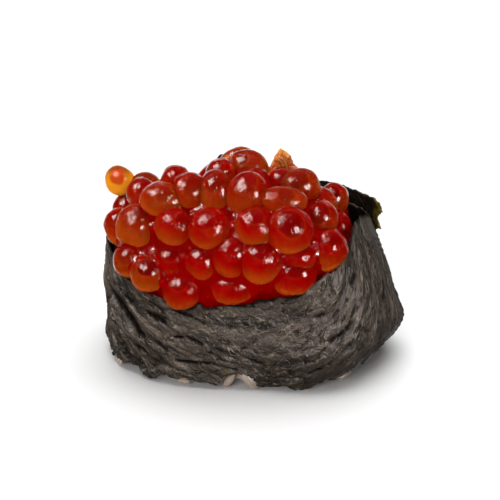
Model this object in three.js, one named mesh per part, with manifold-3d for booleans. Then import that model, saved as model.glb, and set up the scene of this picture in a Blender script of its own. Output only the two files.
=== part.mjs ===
// Gunkan sushi: a bed of rice wrapped in a band of nori, heaped with salmon roe.
// Millimetres, +Z up. X runs along the long axis, -Y is the display side, and the
// origin is the middle of the flat spot under the rice, on the surface it stands on.
// Angles round the wrap are in degrees, counted from +X towards +Y.

import * as THREE from "three";
import { mergeVertices } from "three/addons/utils/BufferGeometryUtils.js";
import Module from "manifold-3d";

const wasm = await Module();
wasm.setup();

// ---------------------------------------------------------------- driving sizes

const EYE = { turn: 12, rise: 28 }; // the display side: how far the eye stands right and up

// The belly outline of the wrap, a rounded oval seen from above.
const BELLY = { halfLength: 28.3, halfWidth: 17.6, squareness: 2.35, height: 8 };

// Cyclic values round the wrap, one for each 45 degrees, starting at +X.
const SWELL = [0.9, 0, 0, 0.4, 0.2, 2.7, 0.6, 0.9]; // how far the belly leaves the oval
const TUCK = [9.0, 4.5, 2.5, 2.5, 0.4, 0.4, 0, 2.6]; // how far the foot pulls in
const LEAN = [9.5, 3.4, 1.5, 1.0, 0.5, 1.6, 3.2, 6.6]; // how far a full-height rim leans in

// Values along the nori strip, at the stated angles. The strip starts under its own
// tail, passes the right end, the front, the left end and the back, and overlaps.
const STRIP = {
  angles: [62, 20, 4, -12, -30, -52, -75, -100, -120, -140, -163, -190, -225, -270, -310, -340],
  rims: [24, 24.5, 28.2, 25.6, 22.4, 19.4, 18.3, 17.2, 16.7, 19.2, 23.8, 25.8, 28.3, 28.8, 28.2, 28.3],
  feet: [1.2, 1.3, 1.6, 1.5, 1.2, 0.5, 0.3, 0.9, 0.8, 0.6, 0.4, 0.8, 0.8, 1.0, 1.2, 3.5],
};
// Places where the foot is torn up and a grain of rice looks out: how high, how wide.
const TEARS = { angles: [-36, -82, -97, -112, -141, -196], rise: 1.9, halfWidth: 5 };
const FULL_HEIGHT = 28.5; // of the wrap where it is tallest, at the back
const NORI = { thickness: 0.6, columns: 80, rows: 7 };
const TAIL = { leaves: -262, lap: 1.0, gape: 3.2, slant: 18 }; // the free end's set
const CREASE_DEPTH = 0.38;

const GAP = 0.35; // left free between pieces that touch

const RICE = { topHeight: 14.5, flatShare: 0.62, wallRoom: 1.3, steps: 40 };
const GRAIN = { length: 5.4, width: 2.5, height: 2.1, seed: 7 };
// Grains along the foot: how many lie evenly inside the wrap, and how far in from it.
const UNDER_FOOT = { count: 15, inset: 3.0, insetSpread: 1.2 };
const IN_TEARS = { inset: 0.9 };

// The squarish dome that the middles of the topmost eggs lie on, and its skyline as
// the display side shows it: pairs of a place across and how far up the eggs lie there.
const DOME = {
  centre: new THREE.Vector3(-4.4, 1.2, 18),
  halfAxes: new THREE.Vector3(22, 16, 19),
  squareness: 2.8,
};
const SKYLINE = [
  [-29, 22],
  [-25, 27.5],
  [-20, 30.4],
  [-14, 31.4],
  [-8, 32.4],
  [-3, 34.6],
  [3, 32.6],
  [10, 29.6],
  [16, 26.4],
  [20, 22],
];
const EGG = { size: 7.0, spread: 0.07, overhang: 0.5, seed: 21 };
// What carries the eggs: its dome lies this far under theirs, and inside the wrap its
// edge lies this far under the rim, with a bevel this high and this wide.
const CORE = { shrink: 1.5, underRim: 1.2, bevelHeight: 0.6, bevelWidth: 2, steps: 40, levels: 8 };
// The rest of the heap: an upper layer of eggs, then the lower ones seen between them.
const LAYERS = [
  { sunk: 0, crowding: 0.86 },
  { sunk: 1.8, crowding: 0.74 },
];

// Eggs that show from the display side: how far each lies across and up from the
// origin as the eye sees it, then its breadth, its height and its slant in degrees.
const OVERHANG = 2.6; // how much nearer the eye the eggs lie that hang over the rim
const DISPLAY_EGGS = {
  hanging: [
    [-25.6, 22.9, 6.6, 7.4, 10],
    [-23.7, 16.5, 6.7, 6.7, 0],
    [-20.2, 13.9, 7.1, 7.1, 0],
    [-13.7, 10.7, 7.5, 7.7, -20],
  ],
  rim: [
    [-4.1, 11.3, 8.3, 6.5, 3],
    [7.9, 13.0, 8.2, 6.5, 12],
    [15.0, 18.6, 6.5, 8.0, -14],
    [16.7, 22.7, 5.4, 6.2, 0],
  ],
  middle: [
    [-25.5, 27.2, 5.4, 5.4, 0],
    [-22.6, 22.8, 7.7, 8.7, 8],
    [-16.0, 16.2, 6.3, 6.3, 0],
    [-9.9, 16.3, 6.3, 6.3, 0],
    [-4.3, 17.4, 7.1, 7.7, 0],
    [1.5, 16.0, 7.9, 8.3, -6],
    [8.4, 17.2, 7.0, 6.4, 0],
    [12.9, 25.0, 6.1, 6.3, 0],
    [15.5, 28.3, 5.8, 6.4, 0],
  ],
  shoulder: [
    [-21.8, 29.4, 5.7, 5.9, 0],
    [-17.4, 28.0, 8.7, 6.7, -6],
    [-15.2, 22.9, 6.9, 6.6, 0],
    [-8.5, 22.5, 7.3, 7.1, -20],
    [0.3, 23.1, 6.8, 7.4, 18],
    [7.1, 22.0, 8.3, 8.7, -10],
    [5.7, 28.2, 8.8, 5.5, -2],
    [9.1, 30.8, 7.3, 6.8, -10],
  ],
  crown: [
    [-20.9, 31.2, 5.4, 4.7, 0],
    [-15.0, 31.8, 5.8, 5.9, 0],
    [-12.6, 29.7, 7.0, 6.7, 0],
    [-7.3, 29.5, 5.5, 7.9, 0],
    [-1.2, 29.2, 7.6, 7.9, 0],
    [-0.9, 34.5, 7.9, 6.4, -25],
    [-3.3, 36.0, 6.7, 4.6, 20],
    [-6.7, 33.4, 6.0, 5.8, 30],
    [5.4, 32.1, 5.4, 4.8, 10],
  ],
};
const PALE_EGG = { across: -25.8, up: 31.9, towards: 8.5, breadth: 5.6, height: 6.0 };
const TORN_SKIN = {
  across: 5.4,
  up: 34.2,
  height: 6.6,
  foot: 2.7, // radius
  taper: 0.86, // share of that radius lost at the tip
  flatness: 0.7, // its depth against its breadth
  sunk: 0.35, // share of its height below its place
  folds: 5,
  wobble: 0.3,
};

const COLOURS = {
  rice: 0xe9e3d4,
  nori: 0x2c2a27,
  roe: 0xb11c05,
  paleEgg: 0xe08a24,
  tornSkin: 0xc8742a,
};

// ---------------------------------------------------------------- small tools

const radians = (degrees) => (degrees * Math.PI) / 180;
const clamp = (value, low, high) => Math.min(high, Math.max(low, value));
const smooth = (share) => share * share * (3 - 2 * share);

// A seeded random number between 0 and 1, the same on every run.
function seededRandom(seed) {
  let state = seed >>> 0;
  return () => {
    state = (Math.imul(state, 1664525) + 1013904223) >>> 0;
    return state / 4294967296;
  };
}

// A smooth curve through four values, for a share between the middle two.
function catmullRom(before, from, to, after, share) {
  const slopeIn = (to - before) / 2;
  const slopeOut = (after - from) / 2;
  const cubic = 2 * from - 2 * to + slopeIn + slopeOut;
  const square = -3 * from + 3 * to - 2 * slopeIn - slopeOut;
  return ((cubic * share + square) * share + slopeIn) * share + from;
}

// A value round the wrap, from one value for each equal step of a full turn.
function roundTheWrap(values, degrees) {
  const count = values.length;
  const place = ((((degrees / 360) % 1) + 1) % 1) * count;
  const index = Math.floor(place);
  const at = (offset) => values[(index + offset + count) % count];
  return catmullRom(at(-1), at(0), at(1), at(2), place - index);
}

// A value along the strip, from the values listed at STRIP.angles.
function alongTheStrip(values, degrees) {
  const { angles } = STRIP;
  const last = angles.length - 1;
  let index = 0;
  while (index < last - 1 && degrees < angles[index + 1]) index += 1;
  const share = (angles[index] - degrees) / (angles[index] - angles[index + 1]);
  const at = (offset) => values[clamp(index + offset, 0, last)];
  return catmullRom(at(-1), at(0), at(1), at(2), clamp(share, 0, 1));
}

// ---------------------------------------------------------------- solids

// A geometry as a manifold solid.
function solidOf(geometry) {
  const bare = new THREE.BufferGeometry();
  bare.setAttribute("position", geometry.getAttribute("position"));
  if (geometry.index) bare.setIndex(geometry.index);
  const merged = mergeVertices(bare, 1e-4);
  return new wasm.Manifold(
    new wasm.Mesh({
      numProp: 3,
      vertProperties: new Float32Array(merged.attributes.position.array),
      triVerts: new Uint32Array(merged.index.array),
    }),
  );
}

// A manifold solid as a geometry.
function geometryOf(solid) {
  const mesh = solid.getMesh();
  const positions = new Float32Array(mesh.numVert * 3);
  for (let i = 0; i < mesh.numVert; i += 1) {
    const start = i * mesh.numProp;
    positions.set(mesh.vertProperties.subarray(start, start + 3), i * 3);
  }
  const geometry = new THREE.BufferGeometry();
  geometry.setAttribute("position", new THREE.BufferAttribute(positions, 3));
  geometry.setIndex(new THREE.BufferAttribute(mesh.triVerts, 1));
  geometry.computeVertexNormals();
  return geometry;
}

function geometryFrom(points, triangles) {
  const geometry = new THREE.BufferGeometry();
  const positions = points.flatMap((p) => [p.x, p.y, p.z]);
  geometry.setAttribute("position", new THREE.Float32BufferAttribute(positions, 3));
  geometry.setIndex(triangles);
  return geometry;
}

const union = (solids) => wasm.Manifold.union(solids);

// The largest of the bodies that a solid falls into.
function largestBody(solid) {
  return solid.decompose().sort((a, b) => b.volume() - a.volume())[0];
}

// A closed solid from rings of points, each ring counter-clockwise, from low to high.
function solidFromRings(rings) {
  const count = rings[0].length;
  const points = rings.flat();
  const triangles = [];
  for (let r = 0; r < rings.length - 1; r += 1) {
    for (let i = 0; i < count; i += 1) {
      const [a, b] = [r * count + i, r * count + ((i + 1) % count)];
      const [c, d] = [a + count, b + count];
      triangles.push(a, b, d, a, d, c);
    }
  }
  const middleOf = (ring) =>
    ring.reduce((sum, p) => sum.add(p), new THREE.Vector3()).divideScalar(count);
  const low = points.push(middleOf(rings[0])) - 1;
  const high = points.push(middleOf(rings.at(-1))) - 1;
  const topStart = (rings.length - 1) * count;
  for (let i = 0; i < count; i += 1) {
    const next = (i + 1) % count;
    triangles.push(low, next, i, high, topStart + i, topStart + next);
  }
  return solidOf(geometryFrom(points, triangles));
}

// A ball squashed to the given sizes, turned, and set in place.
function spheroid(ball, { sizes, turn, at }) {
  ball.applyMatrix4(new THREE.Matrix4().compose(at, turn, sizes));
  return solidOf(ball);
}

// ---------------------------------------------------------------- the wrap's form

// How far the belly outline lies from the origin at an angle.
function bellyRadius(degrees) {
  const { halfLength, halfWidth, squareness } = BELLY;
  const along = Math.abs(Math.cos(radians(degrees)) / halfLength) ** squareness;
  const across = Math.abs(Math.sin(radians(degrees)) / halfWidth) ** squareness;
  return (along + across) ** (-1 / squareness) + roundTheWrap(SWELL, degrees);
}

// How far the wall lies inside the belly outline at a height: tucked at the foot,
// leaning in towards the rim.
function wallInset(degrees, height) {
  const below = clamp((BELLY.height - height) / BELLY.height, 0, 1);
  const above = clamp((height - BELLY.height) / (FULL_HEIGHT - BELLY.height), 0, 1.1);
  const tuck = roundTheWrap(TUCK, degrees) * below ** 1.9;
  const lean = roundTheWrap(LEAN, degrees) * above ** 1.1;
  return tuck + lean;
}

const wallRadius = (degrees, height) => bellyRadius(degrees) - wallInset(degrees, height);

// The creases of the damp sheet, slanting down to the right. They repeat after a full
// turn, so that the tail nests on the layer below it.
function creases(degrees, height) {
  const broad = Math.sin(radians(2 * degrees + 27 * height + 20 * Math.sin(radians(3 * degrees))));
  const bend = Math.sin(radians(6 * degrees - 9 * height + 40));
  return CREASE_DEPTH * (0.55 * broad + 0.45 * bend);
}

// The strip's lower edge, with its tears.
function footHeight(degrees) {
  const torn = TEARS.angles.map((angle) =>
    smooth(clamp(1 - Math.abs(degrees - angle) / TEARS.halfWidth, 0, 1)),
  );
  return alongTheStrip(STRIP.feet, degrees) + TEARS.rise * Math.max(...torn);
}

// How far the strip's outer layer stands off the layer below it: its free end gapes,
// most at the top corner.
function tailLift(degrees, height) {
  const lap = smooth(clamp((TAIL.leaves - degrees) / 30, 0, 1)) * TAIL.lap;
  const start = STRIP.angles[0] - 360;
  const free = clamp((start - degrees) / (start - STRIP.angles.at(-1)), 0, 1);
  return lap + TAIL.gape * free ** 1.6 * clamp(height / FULL_HEIGHT, 0, 1) ** 2;
}

// A point of the strip's middle surface, moved outwards by the given distance.
function stripPoint(degrees, height, outwards) {
  const radius = (angle, level) =>
    wallRadius(angle, level) + creases(angle, level) + tailLift(angle, level);
  const place = (angle, level) => {
    const r = radius(angle, level);
    return new THREE.Vector3(
      r * Math.cos(radians(angle)),
      r * Math.sin(radians(angle)),
      level,
    );
  };
  const step = 0.5;
  const round = place(degrees + step, height).sub(place(degrees - step, height));
  const upward = place(degrees, height + step).sub(place(degrees, height - step));
  const normal = round.cross(upward).normalize();
  return place(degrees, height).addScaledVector(normal, outwards);
}

// The strip as a closed slab: an outer and an inner sheet joined along four edges.
// Grown, it is the room that the slab needs with a gap all round.
function stripSolid({ grow = 0, columns = NORI.columns, rows = NORI.rows } = {}) {
  const { thickness } = NORI;
  const [first, last] = [STRIP.angles[0], STRIP.angles.at(-1)];
  const half = thickness / 2 + grow;
  const overrun = grow * 2; // degrees, which is about as many millimetres as the gap
  const sheet = (side) => {
    const points = [];
    for (let c = 0; c <= columns; c += 1) {
      for (let r = 0; r <= rows; r += 1) {
        const end = last + TAIL.slant * (1 - r / rows); // the free end slants back downwards
        const degrees = first + overrun + ((end - first - 2 * overrun) * c) / columns;
        const foot = footHeight(degrees) - grow;
        const rim = alongTheStrip(STRIP.rims, degrees) + grow;
        const height = foot + ((rim - foot) * r) / rows;
        points.push(stripPoint(degrees, height, side * half));
      }
    }
    return points;
  };
  const outer = sheet(1);
  const inner = sheet(-1);
  const points = [...outer, ...inner];
  const across = outer.length;
  const index = (c, r) => c * (rows + 1) + r;
  const triangles = [];
  const quad = (a, b, c, d) => triangles.push(a, b, c, a, c, d);
  for (let c = 0; c < columns; c += 1) {
    for (let r = 0; r < rows; r += 1) {
      const [a, b] = [index(c, r), index(c + 1, r)];
      const [d, e] = [index(c, r + 1), index(c + 1, r + 1)];
      quad(b, a, d, e);
      quad(across + a, across + b, across + e, across + d);
    }
    const [low, lowNext] = [index(c, 0), index(c + 1, 0)];
    const [high, highNext] = [index(c, rows), index(c + 1, rows)];
    quad(low, lowNext, across + lowNext, across + low);
    quad(highNext, high, across + high, across + highNext);
  }
  for (let r = 0; r < rows; r += 1) {
    const [a, b] = [index(0, r), index(0, r + 1)];
    const [d, e] = [index(columns, r), index(columns, r + 1)];
    quad(a, across + a, across + b, b);
    quad(across + d, d, e, across + e);
  }
  return solidOf(geometryFrom(points, triangles));
}

// ---------------------------------------------------------------- the display side

const eyeFrame = (() => {
  const [turn, rise] = [radians(EYE.turn), radians(EYE.rise)];
  const across = new THREE.Vector3(Math.cos(turn), Math.sin(turn), 0);
  const towards = new THREE.Vector3(
    Math.sin(turn) * Math.cos(rise),
    -Math.cos(turn) * Math.cos(rise),
    Math.sin(rise),
  );
  const up = new THREE.Vector3().crossVectors(towards, across);
  return { across, up, towards };
})();

// How far out a point lies from the dome's middle: 1 on the dome itself.
function domeShare(point) {
  const { centre, halfAxes, squareness } = DOME;
  const offset = point.clone().sub(centre).divide(halfAxes);
  const total = offset.toArray().reduce((sum, value) => sum + Math.abs(value) ** squareness, 0);
  return total ** (1 / squareness);
}

// Lowers a point that would show above the skyline, seen from the display side.
function settle(point, below = 0) {
  const across = clamp(point.dot(eyeFrame.across), SKYLINE[0][0], SKYLINE.at(-1)[0]);
  const next = Math.max(1, SKYLINE.findIndex(([place]) => place >= across));
  const [[fromAcross, fromUp], [toAcross, toUp]] = [SKYLINE[next - 1], SKYLINE[next]];
  const share = (across - fromAcross) / (toAcross - fromAcross);
  const limit = fromUp + (toUp - fromUp) * share - below;
  const excess = Math.max(0, point.dot(eyeFrame.up) - limit);
  point.z -= excess / eyeFrame.up.z;
  return point;
}

// The point scaled about the dome's middle until it lies on the dome.
function ontoTheDome(point) {
  const share = domeShare(point);
  return point.clone().sub(DOME.centre).divideScalar(share).add(DOME.centre);
}

// Where the line of sight through a place across and up first meets the dome. A line
// that passes over the dome is brought down to its skyline.
function onTheDome(across, up) {
  const reach = 60;
  const step = 0.1;
  const point = new THREE.Vector3()
    .addScaledVector(eyeFrame.across, across)
    .addScaledVector(eyeFrame.up, up)
    .addScaledVector(eyeFrame.towards, reach);
  let closest = { share: Infinity };
  for (let travel = 0; travel < 2 * reach && closest.share > 1; travel += step) {
    point.addScaledVector(eyeFrame.towards, -step);
    const share = domeShare(point);
    if (share < closest.share) closest = { share, at: point.clone() };
  }
  return ontoTheDome(closest.at);
}

// ---------------------------------------------------------------- rice

// A ring of points at one height, as far out as the radius function says.
function ringAt(steps, heightOf, radiusOf) {
  return Array.from({ length: steps }, (_, i) => {
    const degrees = (360 * i) / steps;
    const height = heightOf(degrees);
    const radius = radiusOf(degrees, height);
    const [x, y] = [radius * Math.cos(radians(degrees)), radius * Math.sin(radians(degrees))];
    return new THREE.Vector3(x, y, height);
  });
}

// The pressed bed: flat under the middle, rounded up to the wrap, level on top.
function riceCore() {
  const levels = [
    [0, RICE.flatShare],
    [0.5, RICE.flatShare + 0.13],
    [1.6, 0.86],
    [3.4, 0.96],
    [7, 1],
    [RICE.topHeight - 1, 1],
    [RICE.topHeight, 0.94],
  ];
  const foot = 2; // below this height the bed no longer follows the wall
  const rings = levels.map(([height, share]) =>
    ringAt(
      RICE.steps,
      () => height,
      (degrees) => (wallRadius(degrees, Math.max(height, foot)) - RICE.wallRoom) * share,
    ),
  );
  return solidFromRings(rings);
}

// A grain lying at an angle round the wrap, turned by the given angles.
function grainAt({ degrees, inset, rise, heading, pitch }) {
  const sizes = new THREE.Vector3(GRAIN.length, GRAIN.width, GRAIN.height);
  const turn = new THREE.Quaternion().setFromEuler(
    new THREE.Euler(0, radians(pitch), radians(degrees + heading)),
  );
  const radius = wallRadius(degrees, 1) - inset;
  const at = new THREE.Vector3(
    radius * Math.cos(radians(degrees)),
    radius * Math.sin(radians(degrees)),
    GRAIN.height / 2 + rise,
  );
  return spheroid(new THREE.OctahedronGeometry(0.5, 1), { sizes, turn, at });
}

// Grains along the foot of the wrap: some spread evenly inside it, and one in each tear.
function footGrains() {
  const random = seededRandom(GRAIN.seed);
  const under = Array.from({ length: UNDER_FOOT.count }, (_, i) =>
    grainAt({
      degrees: (360 * (i + 0.6 * random())) / UNDER_FOOT.count,
      inset: UNDER_FOOT.inset + UNDER_FOOT.insetSpread * random(),
      rise: 0.1 + 0.5 * random(),
      heading: 75 + 30 * random(),
      pitch: 16 * (random() - 0.5),
    }),
  );
  const inTears = TEARS.angles.map((degrees) =>
    grainAt({
      degrees,
      inset: IN_TEARS.inset,
      rise: 0.1 + 0.3 * random(),
      heading: 50 + 80 * random(),
      pitch: 14 * (random() - 0.5),
    }),
  );
  return [...under, ...inTears];
}

// ---------------------------------------------------------------- roe

// One egg: an ellipsoid with its long side turned as it shows from the display side.
function eggAt(at, breadth, height, slant) {
  const basis = new THREE.Matrix4().makeBasis(eyeFrame.across, eyeFrame.up, eyeFrame.towards);
  const turn = new THREE.Quaternion()
    .setFromRotationMatrix(basis)
    .multiply(new THREE.Quaternion().setFromAxisAngle(new THREE.Vector3(0, 0, 1), radians(slant)));
  const sizes = new THREE.Vector3(breadth, height, Math.min(breadth, height));
  return { at, sizes, turn };
}

function displayEggs() {
  return Object.entries(DISPLAY_EGGS).flatMap(([row, eggs]) =>
    eggs.map(([across, up, breadth, height, slant]) => {
      const at = onTheDome(across, up);
      if (row === "hanging") at.addScaledVector(eyeFrame.towards, OVERHANG);
      return eggAt(at, breadth, height, slant);
    }),
  );
}

const eggSolid = (egg, detail) => spheroid(new THREE.IcosahedronGeometry(0.5, detail), egg);

// The rim's height at an angle, on the strip's first turn.
function rimHeight(degrees) {
  const turn = 360;
  const from = STRIP.angles[0];
  return alongTheStrip(STRIP.rims, from - ((((from - degrees) % turn) + turn) % turn));
}

// Eggs for the rest of the dome, laid along a spiral and kept clear of those there.
// None lies below the rim, nor far outside it.
function fillerEggs(placed) {
  const random = seededRandom(EGG.seed);
  const eggs = [...placed];
  const places = 700;
  const goldenAngle = Math.PI * (3 - Math.sqrt(5));
  for (const { sunk, crowding } of LAYERS) {
    for (let i = 0; i < places; i += 1) {
      const rise = 1 - (i + 0.5) / places;
      const reach = Math.sqrt(1 - rise * rise);
      const turn = i * goldenAngle;
      const onUnitBall = new THREE.Vector3(reach * Math.cos(turn), reach * Math.sin(turn), rise);
      const at = settle(ontoTheDome(onUnitBall.multiply(DOME.halfAxes).add(DOME.centre)));
      at.lerp(DOME.centre, sunk / at.distanceTo(DOME.centre));
      const size = EGG.size * (1 + EGG.spread * (2 * random() - 1));
      const slant = 180 * random();
      const stretch = 1 + 0.12 * random();
      const degrees = (Math.atan2(at.y, at.x) * 180) / Math.PI;
      const rim = rimHeight(degrees);
      const outside = Math.hypot(at.x, at.y) > wallRadius(degrees, rim) + EGG.overhang;
      const crowded = eggs.some((egg) => {
        const room = ((egg.sizes.x + egg.sizes.y) / 2 + size) / 2;
        return egg.at.distanceTo(at) < room * crowding;
      });
      if (at.z > rim && !outside && !crowded) eggs.push(eggAt(at, size * stretch, size, slant));
    }
  }
  return eggs.slice(placed.length);
}

// What lies under the topmost eggs: a plug that fills the wrap from the rice nearly to
// its rim, and a dome on it, a little smaller than the one the eggs lie on.
function heapCore() {
  const floor = RICE.topHeight + GAP;
  const { shrink, underRim, bevelHeight, bevelWidth, steps, levels } = CORE;
  const inside = (degrees, height) => wallRadius(degrees, height) - RICE.wallRoom;
  const edge = (degrees) => rimHeight(degrees) - underRim;
  const plug = solidFromRings([
    ringAt(steps, () => floor, inside),
    ringAt(steps, edge, inside),
    ringAt(
      steps,
      (degrees) => edge(degrees) + bevelHeight,
      (degrees, height) => inside(degrees, height) - bevelWidth,
    ),
  ]);
  const { centre, squareness } = DOME;
  const halfAxes = DOME.halfAxes.clone().subScalar(shrink);
  const lowest = (floor - centre.z) / halfAxes.z;
  const highest = 0.985; // the dome is cut off just short of its top, which is level
  const rings = Array.from({ length: levels }, (_, level) => {
    const rise = lowest + (highest - lowest) * Math.sin(radians((90 * level) / (levels - 1)));
    const share = (1 - Math.abs(rise) ** squareness) ** (1 / squareness);
    return Array.from({ length: steps }, (_unused, i) => {
      const turn = (2 * Math.PI * i) / steps;
      const [x, y] = [Math.cos(turn), Math.sin(turn)];
      const square = (Math.abs(x) ** squareness + Math.abs(y) ** squareness) ** (-1 / squareness);
      const offset = new THREE.Vector3(x * square * share, y * square * share, rise);
      return settle(offset.multiply(halfAxes).add(centre), shrink);
    });
  });
  return union([plug, solidFromRings(rings)]);
}

function roeSolid(eggs, noriRoom) {
  const solids = eggs.map((egg) => eggSolid(egg, 1));
  return largestBody(union([heapCore(), ...solids]).subtract(noriRoom));
}

// The room that the eggs take up, with a gap round it.
function roomRound(eggs) {
  const grown = eggs.map((egg) => ({ ...egg, sizes: egg.sizes.clone().addScalar(2 * GAP) }));
  return union([heapCore(), ...grown.map((egg) => eggSolid(egg, 1))]);
}

// ---------------------------------------------------------------- loose pieces on top

function paleEggSolid(roeRoom) {
  const { across, up, towards, breadth, height } = PALE_EGG;
  const at = new THREE.Vector3()
    .addScaledVector(eyeFrame.across, across)
    .addScaledVector(eyeFrame.up, up)
    .addScaledVector(eyeFrame.towards, towards);
  return largestBody(eggSolid(eggAt(at, breadth, height, 12), 2).subtract(roeRoom));
}

// An emptied egg skin: a small crumpled cone with folds running up to its tip.
function tornSkinSolid(roeRoom) {
  const { across, up, height, foot, taper, flatness, sunk, folds, wobble } = TORN_SKIN;
  const base = onTheDome(across, up).addScaledVector(eyeFrame.up, -height * sunk);
  const steps = folds * 4;
  const levels = 6;
  const rings = Array.from({ length: levels }, (_, level) => {
    const share = level / (levels - 1);
    const radius = foot * (1 - taper * share);
    return Array.from({ length: steps }, (_unused, i) => {
      const angle = (2 * Math.PI * i) / steps;
      const ripple = 1 + wobble * Math.sin(folds * angle + 1.4 * share);
      return base
        .clone()
        .addScaledVector(eyeFrame.across, radius * ripple * Math.cos(angle))
        .addScaledVector(eyeFrame.towards, flatness * radius * ripple * Math.sin(-angle))
        .addScaledVector(eyeFrame.up, height * share);
    });
  });
  return largestBody(solidFromRings(rings).subtract(roeRoom));
}

// ---------------------------------------------------------------- the sushi

function meshOf(name, solid, color, roughness) {
  const material = new THREE.MeshStandardMaterial({ color, roughness, metalness: 0 });
  const mesh = new THREE.Mesh(geometryOf(solid), material);
  mesh.name = name;
  return mesh;
}

const nori = stripSolid();
const noriRoom = stripSolid({ grow: GAP });
const rice = largestBody(union([riceCore(), ...footGrains()]).subtract(noriRoom));
const shownEggs = displayEggs();
const eggs = [...shownEggs, ...fillerEggs(shownEggs)];
const roe = roeSolid(eggs, stripSolid({ grow: GAP, columns: 50, rows: 5 }));
const roeRoom = roomRound(eggs);
const paleEgg = paleEggSolid(roeRoom);
const tornSkin = tornSkinSolid(roeRoom);

const sushi = new THREE.Group();
sushi.name = "gunkan_sushi";
sushi.add(
  meshOf("rice_bed", rice, COLOURS.rice, 0.6),
  meshOf("nori_wrap", nori, COLOURS.nori, 0.55),
  meshOf("roe_heap", roe, COLOURS.roe, 0.12),
  meshOf("pale_egg", paleEgg, COLOURS.paleEgg, 0.12),
  meshOf("torn_skin", tornSkin, COLOURS.tornSkin, 0.3),
);

export default sushi;
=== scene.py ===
"""Gunkan sushi: pressed rice in a band of damp nori, heaped with wet salmon roe.

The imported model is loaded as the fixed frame. Each of its nodes is then stood for by a
finished piece of the same form: the nori band, the rice, the heap of eggs with the juice
between them, the loose amber egg and the emptied egg skin.

Sizes in the classes are millimetres, angles are degrees, and Blender's own units are
metres. Angles round the wrap are counted from +X towards +Y, as in the solids.
"""

import logging
import math
from collections.abc import Callable, Iterable
from dataclasses import dataclass, field
from enum import Enum

import bpy
import numpy as np
from mathutils import Matrix, Vector, noise

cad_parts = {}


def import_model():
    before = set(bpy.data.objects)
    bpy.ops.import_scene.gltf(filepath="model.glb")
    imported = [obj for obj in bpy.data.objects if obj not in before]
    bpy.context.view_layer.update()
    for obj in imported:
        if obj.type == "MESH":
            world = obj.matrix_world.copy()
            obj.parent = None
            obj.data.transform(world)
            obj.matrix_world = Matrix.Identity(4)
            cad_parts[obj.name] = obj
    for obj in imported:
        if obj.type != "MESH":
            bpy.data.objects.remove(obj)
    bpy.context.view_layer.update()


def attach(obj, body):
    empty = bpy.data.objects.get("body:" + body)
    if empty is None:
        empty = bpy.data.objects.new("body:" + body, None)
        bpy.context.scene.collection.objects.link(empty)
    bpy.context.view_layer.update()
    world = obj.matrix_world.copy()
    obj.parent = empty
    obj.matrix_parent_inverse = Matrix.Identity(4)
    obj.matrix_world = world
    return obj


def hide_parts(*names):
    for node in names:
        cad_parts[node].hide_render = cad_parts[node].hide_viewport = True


MM = 0.001
GOLDEN_TURN = math.pi * (3 - math.sqrt(5))
LOG = logging.getLogger("gunkan")
Triple = tuple[float, float, float]


# ---------------------------------------------------------------- small tools


def clamp(value: float, low: float, high: float) -> float:
    """Keeps a value between two limits."""
    return min(high, max(low, value))


def smooth(share: float) -> float:
    """Eases a share from 0 to 1 in and out."""
    share = clamp(share, 0, 1)
    return share * share * (3 - 2 * share)


def catmull_rom(values: tuple[float, float, float, float], share: float) -> float:
    """A smooth curve through four values.

    Args:
        values: the value before, the two that the share lies between, and the one after.
        share: how far the place lies from the second value towards the third.

    Returns:
        The value at that share.
    """
    before, start, end, after = values
    slope_in, slope_out = (end - before) / 2, (after - start) / 2
    cubic = 2 * start - 2 * end + slope_in + slope_out
    square = -3 * start + 3 * end - 2 * slope_in - slope_out
    return ((cubic * share + square) * share + slope_in) * share + start


def round_the_wrap(values: tuple[float, ...], degrees: float) -> float:
    """A value round the wrap, from one value for each equal step of a full turn."""
    count = len(values)
    place = (degrees / 360 % 1) * count
    index = math.floor(place)
    near = tuple(values[(index + offset) % count] for offset in (-1, 0, 1, 2))
    return catmull_rom(near, place - index)


def polar(radius: float, turn: float, height: float) -> Triple:
    """The place so far from the middle, at a turn in radians and a height."""
    return radius * math.cos(turn), radius * math.sin(turn), height


def rise_of(z: float) -> float:
    """How far up a ball with radius 1 a level lies, by angle: 0 at its foot, 1 at its top."""
    return 1 - math.acos(clamp(z, -1, 1)) / math.pi


def perlin(x: float, y: float, layer: float) -> float:
    """Soft noise from -1 to 1 at a place on a flat layer."""
    return noise.noise(Vector((x, y, layer)))


class SeededRandom:
    """Random numbers between 0 and 1 that are the same on every run."""

    def __init__(self, seed: int) -> None:
        """Starts the row of numbers.

        Args:
            seed: any whole number; each gives another row.
        """
        self.state = seed & 0xFFFFFFFF

    def __call__(self) -> float:
        """The next number."""
        self.state = (self.state * 1664525 + 1013904223) & 0xFFFFFFFF
        return self.state / 4294967296

    def between(self, low: float, high: float) -> float:
        """The next number, spread over a range."""
        return low + (high - low) * self()


# ---------------------------------------------------------------- modelling by operator


def deselect_all() -> None:
    """Leaves nothing selected."""
    for item in bpy.context.selected_objects:
        item.select_set(False)


def only(item: bpy.types.Object) -> bpy.types.Object:
    """Selects one object alone and makes it the active one."""
    deselect_all()
    item.select_set(True)
    bpy.context.view_layer.objects.active = item
    return item


def added(name: str) -> bpy.types.Object:
    """Names the primitive that was just added, and its mesh."""
    item = bpy.context.active_object
    item.name = name
    item.data.name = name
    return item


def in_edit_mode(item: bpy.types.Object, *steps: Callable[[], object]) -> None:
    """Runs operators on the whole of a mesh in edit mode.

    Args:
        item: the object to edit.
        steps: calls that run one operator each.
    """
    only(item)
    bpy.ops.object.mode_set(mode="EDIT")
    bpy.ops.mesh.select_all(action="SELECT")
    for step in steps:
        step()
    bpy.ops.object.mode_set(mode="OBJECT")


def apply_modifier(item: bpy.types.Object, kind: str, **settings: object) -> None:
    """Adds one modifier and applies it.

    Args:
        item: the object that gets it.
        kind: Blender's name for the modifier.
        settings: its settings by name.
    """
    only(item)
    modifier = item.modifiers.new(kind.title(), kind)
    for name, value in settings.items():
        setattr(modifier, name, value)
    bpy.ops.object.modifier_apply(modifier=modifier.name)


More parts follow.
